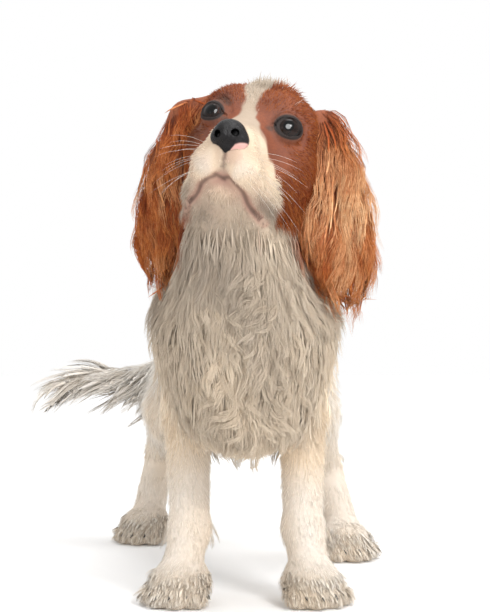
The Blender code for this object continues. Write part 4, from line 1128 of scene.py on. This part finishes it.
def marked_colour(tree, tone):
    """White or red by the markings, lighter or darker by tone, then the dark, pink and creamed places, the dark
    and the cream's far end partly painted shade.
    """
    white = ramp(tree, tone, [(0.0, linear(236, 227, 214)), (0.45, linear(243, 236, 226)),
                              (1.0, linear(252, 248, 242))])
    red = ramp(tree, tone, [(0.0, linear(104, 42, 16)), (0.35, linear(152, 70, 28)),
                            (0.7, linear(184, 94, 40)), (1.0, linear(214, 130, 68))])
    gold = ramp(tree, tone, [(0.0, linear(160, 86, 46)), (0.35, linear(222, 146, 92)),
                             (0.7, linear(246, 186, 130)), (1.0, linear(252, 212, 164))])
    red = mixed(tree, attribute(tree, "gold"), red, gold)
    colour = mixed(tree, attribute(tree, "red"), white, red)
    # Up to the middle of this ramp the white is tinted cream; past it, it darkens to grey-beige as painted
    # shade
    cream_and_shade_mix = ramp(tree, attribute(tree, "stain"), [(0.0, (1, 1, 1)), (0.5, linear(255, 240, 219)),
                                                  (1.0, linear(193, 181, 168))])
    colour = mixed(tree, 1.0, colour, cream_and_shade_mix, "MULTIPLY")
    colour = mixed(tree, attribute(tree, "pink"), colour, linear(178, 122, 108))
    return mixed(tree, attribute(tree, "dark"), colour, linear(54, 34, 27))


COAT_FACING = 2.2           # how much more a hair is shaded by the way the coat faces than by its own form


def coat_material(name):
    made, tree, surface = shaded(name, 0.6, specular=0.12)
    broad = summed(tree, noise(tree, 55), noise(tree, 260), 0.6)
    tone = summed(tree, attribute(tree, "shade"), summed(tree, attribute(tree, "along"), broad, 0.90), 0.45)
    tone = summed(tree, tone, level(tree, -0.86), 1.0)
    tree.links.new(marked_colour(tree, tone), surface.inputs["Base Color"])
    facing = tree.nodes.new("ShaderNodeAttribute")
    facing.attribute_name = "facing"
    own = tree.nodes.new("ShaderNodeNewGeometry")
    agree = vector_math(tree, "DOT_PRODUCT", facing.outputs["Vector"], own.outputs["Normal"]).outputs["Value"]
    weight = tree.nodes.new("ShaderNodeMapRange")
    weight.interpolation_type = "SMOOTHSTEP"
    weight.inputs["From Min"].default_value = -0.5
    weight.inputs["From Max"].default_value = 0.3
    weight.inputs["To Max"].default_value = COAT_FACING
    tree.links.new(agree, weight.inputs["Value"])
    scaled = vector_math(tree, "SCALE", facing.outputs["Vector"])
    tree.links.new(weight.outputs["Result"], scaled.inputs["Scale"])
    blend = vector_math(tree, "ADD", scaled.outputs["Vector"], own.outputs["Normal"])
    even = vector_math(tree, "NORMALIZE", blend.outputs["Vector"])
    tree.links.new(even.outputs["Vector"], surface.inputs["Normal"])
    return made


def skin_material():
    made, tree, surface = shaded("skin", 0.75, specular=0.2)
    fine = summed(tree, summed(tree, noise(tree, 900, 2.0), noise(tree, 70), 0.7), level(tree, -0.35), 1.0)
    tone = summed(tree, noise(tree, 45), fine, -0.55)
    colour = mixed(tree, 1.0, marked_colour(tree, fine), linear(228, 227, 225), "MULTIPLY")
    colour = mixed(tree, attribute(tree, "bare"), mixed(tree, 0.10, colour, linear(190, 150, 130)),
                   mixed(tree, fine, linear(20, 14, 12), linear(46, 33, 29)))
    tree.links.new(colour, surface.inputs["Base Color"])
    bumped(tree, surface, tone, 0.5, 0.0008)
    return made


def nose_material():
    made, tree, surface = shaded("nose", 0.36, specular=0.16)
    cells = tree.nodes.new("ShaderNodeTexVoronoi")
    cells.inputs["Scale"].default_value = 1500
    place = tree.nodes.new("ShaderNodeTexCoord")
    tree.links.new(place.outputs["Object"], cells.inputs["Vector"])
    dark = ramp(tree, noise(tree, 300), [(0.3, linear(14, 12, 13)), (0.8, linear(30, 27, 28))])
    # Inside the nostrils the leather is painted near black as painted shade
    dark = mixed(tree, attribute(tree, "inside"), dark, linear(3, 2, 2))
    colour = mixed(tree, attribute(tree, "pink"), dark, linear(226, 176, 166))
    tree.links.new(colour, surface.inputs["Base Color"])
    bumped(tree, surface, cells.outputs["Distance"], 0.7, 0.0005)
    return made


def eye_material():
    made, tree, surface = shaded("eye", 0.3, specular=0.02, coat=0.42, coat_roughness=0.02)
    iris = ramp(tree, noise(tree, 700, 4.0), [(0.3, linear(14, 7, 5)), (0.8, linear(38, 20, 12))])
    rings = ramp(tree, attribute(tree, "outward"),
                 [(0.0, (0, 0, 0)), (0.40, (0, 0, 0)), (0.46, (1, 1, 1)), (0.86, (1, 1, 1)),
                  (1.0, (0.05, 0.05, 0.05))])
    tree.links.new(mixed(tree, 1.0, iris, rings, "MULTIPLY"), surface.inputs["Base Color"])
    return made


def horn_material():
    made, tree, surface = shaded("claws", 0.35, specular=0.5)
    colour = ramp(tree, summed(tree, noise(tree, 400), attribute(tree, "along"), 0.4),
                  [(0.1, linear(96, 80, 68)), (0.5, linear(52, 42, 36)), (1.0, linear(30, 25, 22))])
    tree.links.new(colour, surface.inputs["Base Color"])
    return made


def whisker_material():
    made, tree, surface = shaded("whiskers", 0.4, specular=0.4)
    colour = ramp(tree, summed(tree, noise(tree, 200), attribute(tree, "along"), 0.5),
                  [(0.2, linear(214, 200, 184)), (1.0, linear(240, 234, 226))])
    tree.links.new(colour, surface.inputs["Base Color"])
    return made


COAT = coat_material("coat")


# The pieces

def finish_piece(piece, slot, *nodes):
    """Shifts the piece from the dog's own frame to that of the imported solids, and rides it."""
    set_points(piece.data, points_of(piece.data) + SHIFT)
    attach(piece, "root")
    if nodes:
        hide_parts(*nodes)
    return piece


def make_skin():
    mesh = fused(FLESH, "skin", 0.0026)
    for radius in (0.050, 0.017):
        points = points_of(mesh)
        at = in_head(points)
        if radius > 0.02:
            chosen = (np.linalg.norm(at - (0, -0.050, -0.030), axis=1) < radius) & (at[:, 1] < -0.012)
        else:
            chosen = (eye_distance(points) < radius) | ((mouth_distance(points) < 0.0035) & (at[:, 1] < -0.02))
        finer_where(mesh, chosen)
        points = FLESH.settle(points_of(mesh), rounds=2)
        set_points(mesh, points)
        relaxed(FLESH, mesh, eye_distance(points) < 0.017, 5)
    points = points_of(mesh)
    points = FLESH.settle(points, -coat_depth(points), rounds=3)
    points[:, 2] = np.maximum(points[:, 2], 0.0001)
    set_points(mesh, points)
    mesh.polygons.foreach_set("use_smooth", np.ones(len(mesh.polygons), bool))
    dark, pink, stain = face_marks(points)
    bare = smooth(0.0024, 0.0016, lid_distance(points)) * head_share(points)
    bare = np.maximum(bare, 0.45 * smooth(0.0016, 0.0006, mouth_distance(points)) * head_share(points))
    bare = np.maximum(bare, smooth(0.0004, -0.0004, nose_flesh().field(points)[0]))
    # Dark and cream marks carry painted shade as well as markings
    paint(mesh, red=redness(points), dark=dark, pink=pink, stain=np.maximum(stain, white_cream_and_shade(points)),
          bare=bare, gold=np.zeros(len(points)))
    skin = new_piece("skin", mesh, skin_material())
    unwrap(skin)
    return skin


# The edge of the nose's bare pink skin: how far it is across the nose and how high
PINK_EDGE = ((0.0020, -0.0150), (0.0040, -0.0105), (0.0068, -0.0068), (0.0102, -0.0050), (0.0150, -0.0030))


def make_nose():
    nose = nose_flesh()
    mesh = fused(nose, "nose", 0.0006)
    piece = new_piece("nose_leather", mesh, nose_material())
    holes = nostril_flesh()
    hollow(piece, new_piece("nostrils", fused(holes, "nostrils", 0.0005)))
    mesh = piece.data
    mesh.polygons.foreach_set("use_smooth", np.ones(len(mesh.polygons), bool))
    at = in_head(points_of(mesh)) - NOSE_AT
    # Bare pink skin comes up under the left wing
    edge = np.interp(at[:, 0], *zip(*PINK_EDGE))
    # The insides of the nostrils get painted shade
    paint(mesh, pink=smooth(0.0006, -0.0006, at[:, 2] - edge) * smooth(0.0018, 0.0030, at[:, 0]),
          inside=smooth(0.0010, 0.0004, holes.field(points_of(mesh))[0]))
    return piece


def make_eye(side):
    """An eyeball whose clear front stands proud, with the pupil and iris round the way it looks."""
    look, _, _ = eye_axes(side)
    look = unit(look + np.array((0.10 * -SIDES[side], 0, 0.03)))
    corners, faces = unit_ball(5)
    facing = corners @ look
    off = np.arccos(np.clip(facing, -1, 1)) / 0.88
    bulge = 1 + 0.030 * smooth(1.0, 0.0, off)
    mesh = mesh_of("eyeball_" + side, corners * bulge[:, None] * EYE_RADIUS, faces)
    set_points(mesh, (points_of(mesh) + EYE_AT * (SIDES[side], 1, 1)) @ HEAD_TURN.T + HEAD_AT)
    paint(mesh, outward=np.clip(off, 0, 1))
    return new_piece("eyeball_" + side, mesh, EYE_SURFACE)


def make_ear_leather(side):
    shape = ear_flesh(side)
    mesh = fused(shape, "ear_leather_" + side, 0.0013)
    mesh.polygons.foreach_set("use_smooth", np.ones(len(mesh.polygons), bool))
    count = len(mesh.vertices)
    zero = np.zeros(count)
    paint(mesh, red=np.ones(count), dark=zero + 0.25, pink=zero, stain=zero, bare=zero, gold=zero)
    leather = new_piece("ear_leather_" + side, mesh, SKIN_SURFACE)
    unwrap(leather)
    return leather, shape


def curved_cone(start, heading, bend, length, radius, rings=7, sides=8):
    corners, at = [], np.array(start, float)
    for i in range(rings):
        share = i / (rings - 1)
        across = unit(np.cross(heading, (0.3, 0.2, 1.0)))
        above = np.cross(across, heading)
        for k in range(sides):
            angle = 2 * math.pi * k / sides
            corners.append(at + (across * math.cos(angle) * 0.8 + above * math.sin(angle)) * radius
                           * (1 - share ** 1.8 * 0.88))
        at = at + heading * length / (rings - 1)
        heading = unit(heading + bend / (rings - 1))
    quads = [(rings_at * sides + k, rings_at * sides + (k + 1) % sides,
              (rings_at + 1) * sides + (k + 1) % sides, (rings_at + 1) * sides + k)
             for rings_at in range(rings - 1) for k in range(sides)]
    first, last = len(corners), len(corners) + 1
    corners += [np.array(start, float), at - heading * length / (rings - 1) * 0.9]
    caps = [(first, (k + 1) % sides, k) for k in range(sides)]
    end = (rings - 1) * sides
    caps += [(last, end + k, end + (k + 1) % sides) for k in range(sides)]
    return np.array(corners), np.array(quads), np.array(caps)


def make_claws(name, paw, turn_deg, size):
    ahead, beside, _ = paw_axes(turn_deg)
    points, quads, caps, along = [], [], [], []
    for across, forward in TOES:
        tip = np.array(paw) + beside * across * size + ahead * (forward + 0.006) + (0, 0, -0.0100)
        start = tip + ahead * 0.0055 * size + (0, 0, 0.0040)
        heading = unit(ahead + beside * across * 6 + (0, 0, -0.10))
        corners, four, three = curved_cone(start, heading, np.array((0, 0, -0.9)), 0.0085, 0.0018)
        base = sum(len(p) for p in points)
        points.append(corners)
        quads.append(four + base)
        caps.append(three + base)
        along.append(np.append(np.repeat(np.linspace(0, 1, 7), 8), (0, 1)))
    corners = np.vstack(points)
    corners[:, 2] = np.maximum(corners[:, 2], 0.0004)
    mesh = mesh_of(name, corners, [np.vstack(quads), np.vstack(caps)])
    paint(mesh, along=np.concatenate(along))
    return new_piece(name, mesh, HORN_SURFACE)


def make_whiskers():
    starts, ends = [], []
    for s in SIDES.values():
        for row in range(4):
            for k in range(3):
                at = np.array((s * (0.0165 + 0.0035 * k), -0.0700 + 0.0075 * k, -0.0350 - 0.0058 * row))
                starts.append(at)
                ends.append(unit(np.array((s * 1.0, -0.10 + 0.30 * k, 0.25 - 0.26 * row)))
                            * chance.uniform(0.026, 0.042))
        for k in range(2):
            starts.append(np.array((s * 0.030, -0.0370 + 0.003 * k, 0.0200)))
            ends.append(unit(np.array((s * 0.5, -0.4, 0.9))) * chance.uniform(0.014, 0.020))
    starts = HEAD_AT + np.array(starts) @ HEAD_TURN.T
    starts = FLESH.settle(starts, -0.0012)
    ends = np.array(ends) @ HEAD_TURN.T
    share = np.linspace(0, 1, 7)[None, :, None]
    paths = starts[:, None] + ends[:, None] * share + np.array((0, 0.004, -0.010)) * share ** 2
    ups = np.repeat(FLESH.normals(starts)[:, None], 7, 1)
    return prisms("whiskers", paths, ups, np.full(len(starts), 0.00020), np.full((len(starts), 2), 0.5),
                  whisker_material(), thick=1.0, flare=1.0)


HORN_SURFACE = horn_material()
EYE_SURFACE = eye_material()
skin = make_skin()
SKIN_SURFACE = skin.data.materials[0]
ground = Ground(skin.data)
ground_normal = FLESH.normals(ground.middle)
ground_height = ground.middle[:, 2]
ground_head = head_share(ground.middle)
ground_leg = leg_share(ground.middle) * (1 - ground_head)
ground_tail = tail_share(ground.middle)
# No fur grows on the eyes, the lids, the lips, the groove, under the nose leather or on the soles
ground_open = 1 - np.maximum.reduce([
    smooth(EYE_RADIUS + 0.0004, EYE_RADIUS, eye_distance(ground.middle)),
    smooth(0.0025, 0.0018, lid_distance(ground.middle)),
    smooth(0.0022, 0.0012, mouth_distance(ground.middle)) * ground_head,
    smooth(0.0016, 0.0009, route_distance(ground.middle, GROOVE)) * ground_head,
    smooth(0.0012, 0.0004, nose_flesh().field(ground.middle)[0]),
    (ground_height < 0.004) * 1.0])


def marks_at(points):
    dark, pink, stain = face_marks(points)
    # Dark and cream marks carry painted shade as well as markings
    return dict(red=redness(points), dark=np.minimum(dark, 0.72), pink=pink * 0.6,
                stain=np.maximum(stain, white_cream_and_shade(points)), gold=np.zeros(len(points)))


def above_floor(paths):
    paths[:, :, 2] = np.maximum(paths[:, :, 2], 0.0012)
    return paths


def sow_fur(name, slot, count, weight, width, stations, grow=1.0, raise_by=1.0, curl=0.35, sink=0.0012):
    """Short overlapping tufts over the skin where weight says."""
    roots, uv = ground.sow(count, weight * ground_open)
    outs = FLESH.normals(roots)
    lies, lengths, lifts = groom(roots)
    lies = lies + chance.normal(0, 0.10, (count, 3)) + 0.10 * np.stack(
        [ripple(roots + 0.3, 0.02), ripple(roots + 0.7, 0.02), ripple(roots + 1.1, 0.02)], 1)
    lengths = lengths * grow * chance.uniform(0.75, 1.2, count)
    lifts = lifts * raise_by * chance.uniform(0.6, 1.4, count)
    paths, ups = flat_tufts(roots, outs, lies, lengths, lifts, stations, sink, curl)
    widths = width * chance.uniform(0.75, 1.25, count)
    return finish_piece(prisms(name, above_floor(paths), ups, widths, uv, COAT, values=marks_at(roots)), slot)


def sow_locks(name, slot, count, weight, length, lift, low, high, drop, wave, turns, strands_each, lock_width,
              hair_width, lie=None, stations=7, ground=ground, shape=FLESH, pull=0.5, marks=marks_at, flat=0.5,
              tighten=0.75, vary=0.17, thick=0.35, flare=0.75, sunk=0.002, rise=0.003):
    """Long locks of many strands over the skin where weight says; length may be a function of place."""
    roots, uv = ground.sow(count, weight)
    lies = groom(roots)[0] if lie is None else lie(roots)
    lies = lies + chance.normal(0, 0.12, (count, 3))
    lengths = length(roots) if callable(length) else np.full(count, length)
    lengths = lengths * chance.uniform(1 - vary, 1 + vary, count)
    paths, ups = hanging_guides(shape, roots, lies, lengths, chance.uniform(0.6, 1.3, count) * lift, stations,
                                low, high, drop, wave, turns, pull, rise)
    outs = shape.normals(roots)
    paths[:, 0] -= outs * sunk
    paths, ups = strands(paths, ups, strands_each, lock_width * chance.uniform(0.8, 1.2, count), flat=flat,
                         tighten=tighten)
    every = np.repeat(np.arange(count), strands_each)
    values = {key: value[every] for key, value in marks(roots).items()}
    widths = hair_width * chance.uniform(0.7, 1.3, len(every))
    made = prisms(name, above_floor(paths), ups, widths, uv[every], COAT, thick, flare, values)
    return finish_piece(made, slot)


def sow_satin(name, slot, count, weight, length, width, low, high, drop=0.2, wave=0.0008, **more):
    """Broad flat tufts that lie close over one another under the long locks."""
    return sow_locks(name, slot, count, weight, length, 0.05, low, high, drop, wave, 0.7, 1, 0.0004, width,
                     flat=0.0, tighten=0.0, thick=0.06, flare=0.06, sunk=0.0042, rise=0.0006, **more)


# Short coat
front = smooth(0.030, 0.000, in_head(ground.middle)[:, 1])
face_weight = ground_head * front
skull_weight = ground_head * (1 - front)
trunk = (1 - ground_head) * (1 - ground_leg) * (1 - ground_tail)
sow_fur("fur_face", "head", 18500, face_weight, 0.00054, 3)
sow_fur("fur_skull", "head", 5500, skull_weight + 0.10 * face_weight, 0.0009, 4, raise_by=1.4)
ahead_half = smooth(0.085, 0.075, ground.middle[:, 1])
upper_half = smooth(0.242, 0.250, ground_height)
sow_fur("fur_neck", "neck", 4500, trunk * ahead_half * upper_half, 0.0011, 4, sink=0.002, raise_by=0.9)
sow_fur("fur_chest", "torso", 5500, trunk * ahead_half * (1 - upper_half), 0.0011, 4, sink=0.002, raise_by=0.55)
sow_fur("fur_back", "torso", 8200, trunk * (1 - ahead_half), 0.0014, 4, sink=0.002)
fore = (ground.middle[:, 1] < 0.105) * 1.0
foot = 1 + 1.2 * smooth(0.050, 0.030, ground_height)
sow_fur("fur_forelegs", "foreleg_left", 11000, ground_leg * fore * foot, 0.00066, 3, grow=1.0, raise_by=1.0)
sow_fur("fur_hindlegs", "hindleg_left", 9500, ground_leg * (1 - fore) * foot, 0.0009, 3, grow=1.1, raise_by=1.1)

# Long coat
ny, nz = ground_normal.T[1:]
x, y, z = ground.middle.T
throat = trunk * smooth(0.020, -0.020, y) * smooth(0.318, 0.308, z) * smooth(0.128, 0.150, z) * (ny < 0.2)


def swirled(roots):
    """The lie on throat and chest: down, but tousled and curled along the middle."""
    lie = groom(roots)[0]
    middle = np.exp(-((roots[:, 0] - 0.006) / 0.028) ** 2) * smooth(0.300, 0.270, roots[:, 2])
    side = np.array((1.0, 0, 0)) * (1.3 * middle * ripple(roots, 0.030))[:, None]
    return lie + side + np.array((0, -0.25, 0)) * (middle * np.abs(ripple(roots + 0.2, 0.024)))[:, None]


middle_band = np.exp(-((x - 0.006) / 0.030) ** 2)
sow_satin("satin_throat", "neck", 800, throat * (z > 0.245), 0.036, 0.0028, 0.0001, 0.0008)
sow_satin("satin_chest", "torso", 900, throat * (z <= 0.270), 0.026, 0.0032, 0.0001, 0.0008, drop=0.05)
sow_locks("locks_throat", "neck", 260, throat * (z > 0.250), 0.044, 0.02, 0.0003, 0.0016, 0.15, 0.0020, 0.9, 14,
          0.0100, 0.00050, flat=0.12, tighten=0.20, stations=6, flare=0.3, sunk=0.004)
sow_locks("locks_chest", "torso", 190, throat * (z <= 0.262) * (0.45 + middle_band), 0.030, 0.02, 0.0002,
          0.0012, 0.08, 0.0020, 0.8, 12, 0.0090, 0.00052, flat=0.12, tighten=0.20, stations=6)
sow_locks("curls_chest", "torso", 180, throat * (z <= 0.285) * middle_band, 0.026, 0.12, 0.0004, 0.0030, 0.12,
          0.0030, 0.9, 12, 0.0080, 0.00052, lie=swirled, stations=7, flat=0.35, tighten=0.60)
under = trunk * smooth(-0.1, -0.6, nz) * smooth(0.015, 0.045, y) * smooth(0.270, 0.235, y) * (z < 0.185)
sow_locks("locks_belly", "torso", 60, under, 0.036, 0.7, 0.002, 0.045, 0.9, 0.0018, 1.0, 18, 0.014, 0.0010)


def behind_leg(side, kind):
    """How much feathering grows at each place: on the back edge of one leg."""
    if kind == "foreleg":
        span = smooth(0.052, 0.070, z) * smooth(0.190, 0.165, z) * fore
    else:
        span = smooth(0.085, 0.105, z) * smooth(0.240, 0.210, z) * (1 - fore)
    return span * (x * SIDES[side] > 0) * smooth(0.45, 0.75, ny) * (1 - ground_tail) * (y < 0.5)


for side in SIDES:
    sow_locks("feathers_foreleg_" + side, "foreleg_" + side, 36, behind_leg(side, "foreleg") * ground_leg,
              0.030, 0.40, 0.001, 0.020, 0.5, 0.0012, 0.8, 14, 0.010, 0.0008, stations=6)
    sow_locks("feathers_hindleg_" + side, "hindleg_" + side, 48, behind_leg(side, "hindleg"),
              0.038, 0.40, 0.001, 0.030, 0.5, 0.0018, 0.9, 16, 0.012, 0.0010, stations=6)


def foot_locks(kind, joints):
    """Tufts and locks over the toes of one pair of feet."""
    for side, s in SIDES.items():
        paw = np.array(joints[side]["paw"])
        ahead, beside, _ = paw_axes(s * joints[side]["turn"])
        at = ground.middle - paw
        near = (np.linalg.norm(at, axis=1) < 0.036) & (nz > -0.15) & (at[:, 2] > -0.008) & (at @ ahead > -0.010)
        near &= ground_height < 0.028

        def lie(roots):
            return ahead + (0, 0, -0.5) + np.outer((roots - paw) @ beside, beside) * 22

        node = "%s_%s" % (kind, side)
        sow_satin("satin_" + node, node, 130, near * 1.0, 0.011, 0.0030, 0.0002, 0.0030, 0.3, 0.0004, lie=lie,
                  stations=5)
        sow_locks("toes_" + node, node, 30, near * 1.0, 0.012, 0.20, 0.0004, 0.0030, 0.35, 0.0006, 0.6, 7,
                  0.0060, 0.0007, lie=lie, stations=5, tighten=0.3)


foot_locks("foreleg", FORELEG)
foot_locks("hindleg", HINDLEG)

TAIL_ROUTE = smooth_route(TAIL_PATH, 61)
TAIL_SHAPE = Flesh()
add_tail(TAIL_SHAPE)


def plume_lie(roots):
    near = ((roots[:, None] - TAIL_ROUTE[None]) ** 2).sum(2).argmin(1)
    ahead = unit(TAIL_ROUTE[np.minimum(near + 1, 60)] - TAIL_ROUTE[np.maximum(near - 1, 0)])
    below = np.clip(-(roots - TAIL_ROUTE[near])[:, 2] / 0.012, 0, 1)
    return ahead + np.outer(0.12 + 0.55 * below, (0, 0, -1.0))


sow_satin("satin_tail", "tail", 320, ground_tail, 0.042, 0.0060, 0.001, 0.030, 0.7, 0.0016, lie=plume_lie,
          shape=TAIL_SHAPE)
sow_locks("plume", "tail", 130, ground_tail, 0.052, 0.12, 0.001, 0.026, 0.60, 0.0020, 0.8, 14, 0.014, 0.0010,
          lie=plume_lie, shape=TAIL_SHAPE, tighten=0.55)


# Ears
def ear_marks(roots):
    zero = np.zeros(len(roots))
    fallen = ((HEAD_AT[2] - roots[:, 2]) / 0.095)
    # The gold is a paler band down each ear, the top kept darker as painted shade, and stronger on the left
    # ear, which faces the key light, as painted light
    pale = smooth(-0.40, 0.05, fallen) * (1 - smooth(0.12, 0.50, fallen))
    return dict(red=np.ones(len(roots)), dark=zero, pink=zero, stain=zero,
                gold=np.clip(np.where(roots[:, 0] > 0, 0.10 + 0.52 * pale, -0.05 + 0.28 * pale)
                             + 0.22 * ripple(roots, 0.014), 0, 1))


EAR_STEPS = 40              # steps along an ear's middle line, at which places on it are told apart
EAR_HALF = 0.021            # half an ear's width
EAR_REACH = {"left": 1.08, "right": 0.98}


def dress_ear(side):
    """The leather of one ear with its tufts and its outer and inner locks."""
    s = SIDES[side]
    leather, shape = make_ear_leather(side)
    ear_ground = Ground(leather.data)
    turn = ear_frame(side)
    out, wide = turn @ np.array((1.0, 0, 0)), turn @ np.array((0, 1.0, 0))
    route = smooth_route(EAR_ROUTE[side], EAR_STEPS + 1)

    def nearest(points):
        return ((points[:, None] - route[None]) ** 2).sum(2).argmin(1)

    def share_of(points):
        return nearest(points) / EAR_STEPS

    def ear_lie(roots):
        share = share_of(roots)
        spread = np.interp(share, (0, 0.3, 0.6, 1), (0.02, 0.08, 0.20, 0.30))
        # On top of the fold the hair first runs outwards
        over = out * (0.1 * smooth(0.22, 0.02, share))[:, None]
        # The front edge falls forward over the cheek
        across = ((roots - route[nearest(roots)]) @ wide) / EAR_HALF
        inward = 0.75 * smooth(0.1, -0.8, across) * smooth(0.05, 0.2, share) * smooth(0.8, 0.5, share)
        return (np.array((0, 0, -1.0)) + wide * (across * spread)[:, None] + over
                + np.outer(inward, (-s, -0.2, 0)))

    def ear_length(roots):
        return EAR_REACH[side] * np.interp(share_of(roots), (0, 0.25, 0.6, 0.8, 1),
                                           (0.022, 0.064, 0.070, 0.060, 0.052))

    facing = shape.normals(ear_ground.middle) @ out
    at_share = share_of(ear_ground.middle)
    outer = smooth(-0.25, 0.25, facing) * smooth(0.97, 0.90, at_share) * smooth(0.01, 0.05, at_share)
    on_ear = dict(lie=ear_lie, ground=ear_ground, shape=shape, marks=ear_marks)
    sow_satin("satin_ear_" + side, "ear_" + side, 260, outer, ear_length, 0.0032, 0.0003, 0.0030, 0.3, 0.0022,
              stations=8, vary=0.2, **on_ear)
    sow_locks("locks_ear_" + side, "ear_" + side, 125, outer, ear_length, 0.04, 0.0005, 0.0030, 0.30, 0.0030,
              1.5, 20, 0.0130, 0.00056, stations=8, tighten=0.52, flat=0.22, vary=0.25, **on_ear)
    sow_locks("locks_ear_inner_" + side, "ear_" + side, 26, smooth(0.25, -0.25, facing), 0.040, 0.15, 0.001,
              0.006, 0.30, 0.0015, 1.2, 12, 0.011, 0.0009, stations=6, **on_ear)
    finish_piece(leather, "ear_" + side, "ear_" + side)


for side, s in SIDES.items():
    dress_ear(side)
    finish_piece(make_eye(side), "eye_" + side, "eye_" + side)
    for kind, joints, size in (("foreleg", FORELEG, 1.0), ("hindleg", HINDLEG, HIND_PAW)):
        claws = make_claws("claws_%s_%s" % (kind, side), joints[side]["paw"], s * joints[side]["turn"],
                           CLAW_SIZE * size)
        finish_piece(claws, kind + "_" + side)

finish_piece(make_nose(), "nose", "nose")
finish_piece(make_whiskers(), "head")
finish_piece(skin, "head", "head", "neck", "torso", "tail", "foreleg_left", "foreleg_right", "hindleg_left",
             "hindleg_right")


# The floor, the light and the camera
def make_floor():
    rings, sides = 24, 96
    radius = 3.0 * (np.arange(1, rings + 1) / rings) ** 1.6
    angles = 2 * math.pi * np.arange(sides) / sides
    corners = [(0, 0, 0)] + [(r * math.cos(a), r * math.sin(a), 0) for r in radius for a in angles]
    fan = np.array([(0, 1 + k, 1 + (k + 1) % sides) for k in range(sides)])
    bands = np.array([(1 + i * sides + k, 1 + (i + 1) * sides + k, 1 + (i + 1) * sides + (k + 1) % sides,
                       1 + i * sides + (k + 1) % sides) for i in range(rings - 1) for k in range(sides)])
    made, tree, surface = shaded("floor", 0.9, specular=0.1)
    tree.links.new(ramp(tree, noise(tree, 3), [(0.2, (0.90, 0.90, 0.90)), (0.8, (0.93, 0.93, 0.93))]),
                   surface.inputs["Base Color"])
    floor = new_piece("floor", mesh_of("floor", np.array(corners), [fan, bands]), made)


def area_light(name, place, target, size, power):
    data = bpy.data.lights.new(name, "AREA")
    data.shape = "DISK"
    data.size = size
    data.energy = power
    light = bpy.data.objects.new(name, data)
    bpy.context.scene.collection.objects.link(light)
    light.location = place
    light.rotation_euler = (Vector(target) - Vector(place)).to_track_quat("-Z", "Y").to_euler()
    return light


make_floor()
area_light("key", (1.1, -1.6, 1.6), (0, 0, 0.25), 0.7, 29)
area_light("fill", (-1.7, -1.6, 1.1), (0, 0, 0.25), 0.7, 1)
area_light("top", (0.3, 0.5, 2.2), (0, 0.1, 0.2), 1.4, 20)
catch = area_light("catch", (0.30, -1.75, 1.25), (0.02, -0.10, 0.37), 1.5, 120)
catch.visible_diffuse = False
world = bpy.data.worlds.new("studio")
world.use_nodes = True
world.node_tree.nodes["Background"].inputs["Color"].default_value = (1, 1, 1, 1)
world.node_tree.nodes["Background"].inputs["Strength"].default_value = 1.0
bpy.context.scene.world = world
bpy.context.scene.view_settings.view_transform = "Standard"

# The photo's framing: its height, the focal length and how far the horizon is off its middle, in pixels
FRAME_HEIGHT, FOCAL_PIXELS, HORIZON_PIXELS = 612, 1824, 43
SENSOR = 36
CAMERA_AWAY, CAMERA_HIGH = 1.5, 0.28
camera_data = bpy.data.cameras.new("camera")
camera_data.lens = FOCAL_PIXELS / FRAME_HEIGHT * SENSOR
camera_data.sensor_width = SENSOR
camera = bpy.data.objects.new("camera", camera_data)
bpy.context.scene.collection.objects.link(camera)
camera.location = Vector((SHIFT[0], -CAMERA_AWAY + SHIFT[1], CAMERA_HIGH))
camera.rotation_euler = (math.pi / 2 - math.atan(HORIZON_PIXELS / FOCAL_PIXELS), 0, 0)
bpy.context.scene.camera = camera
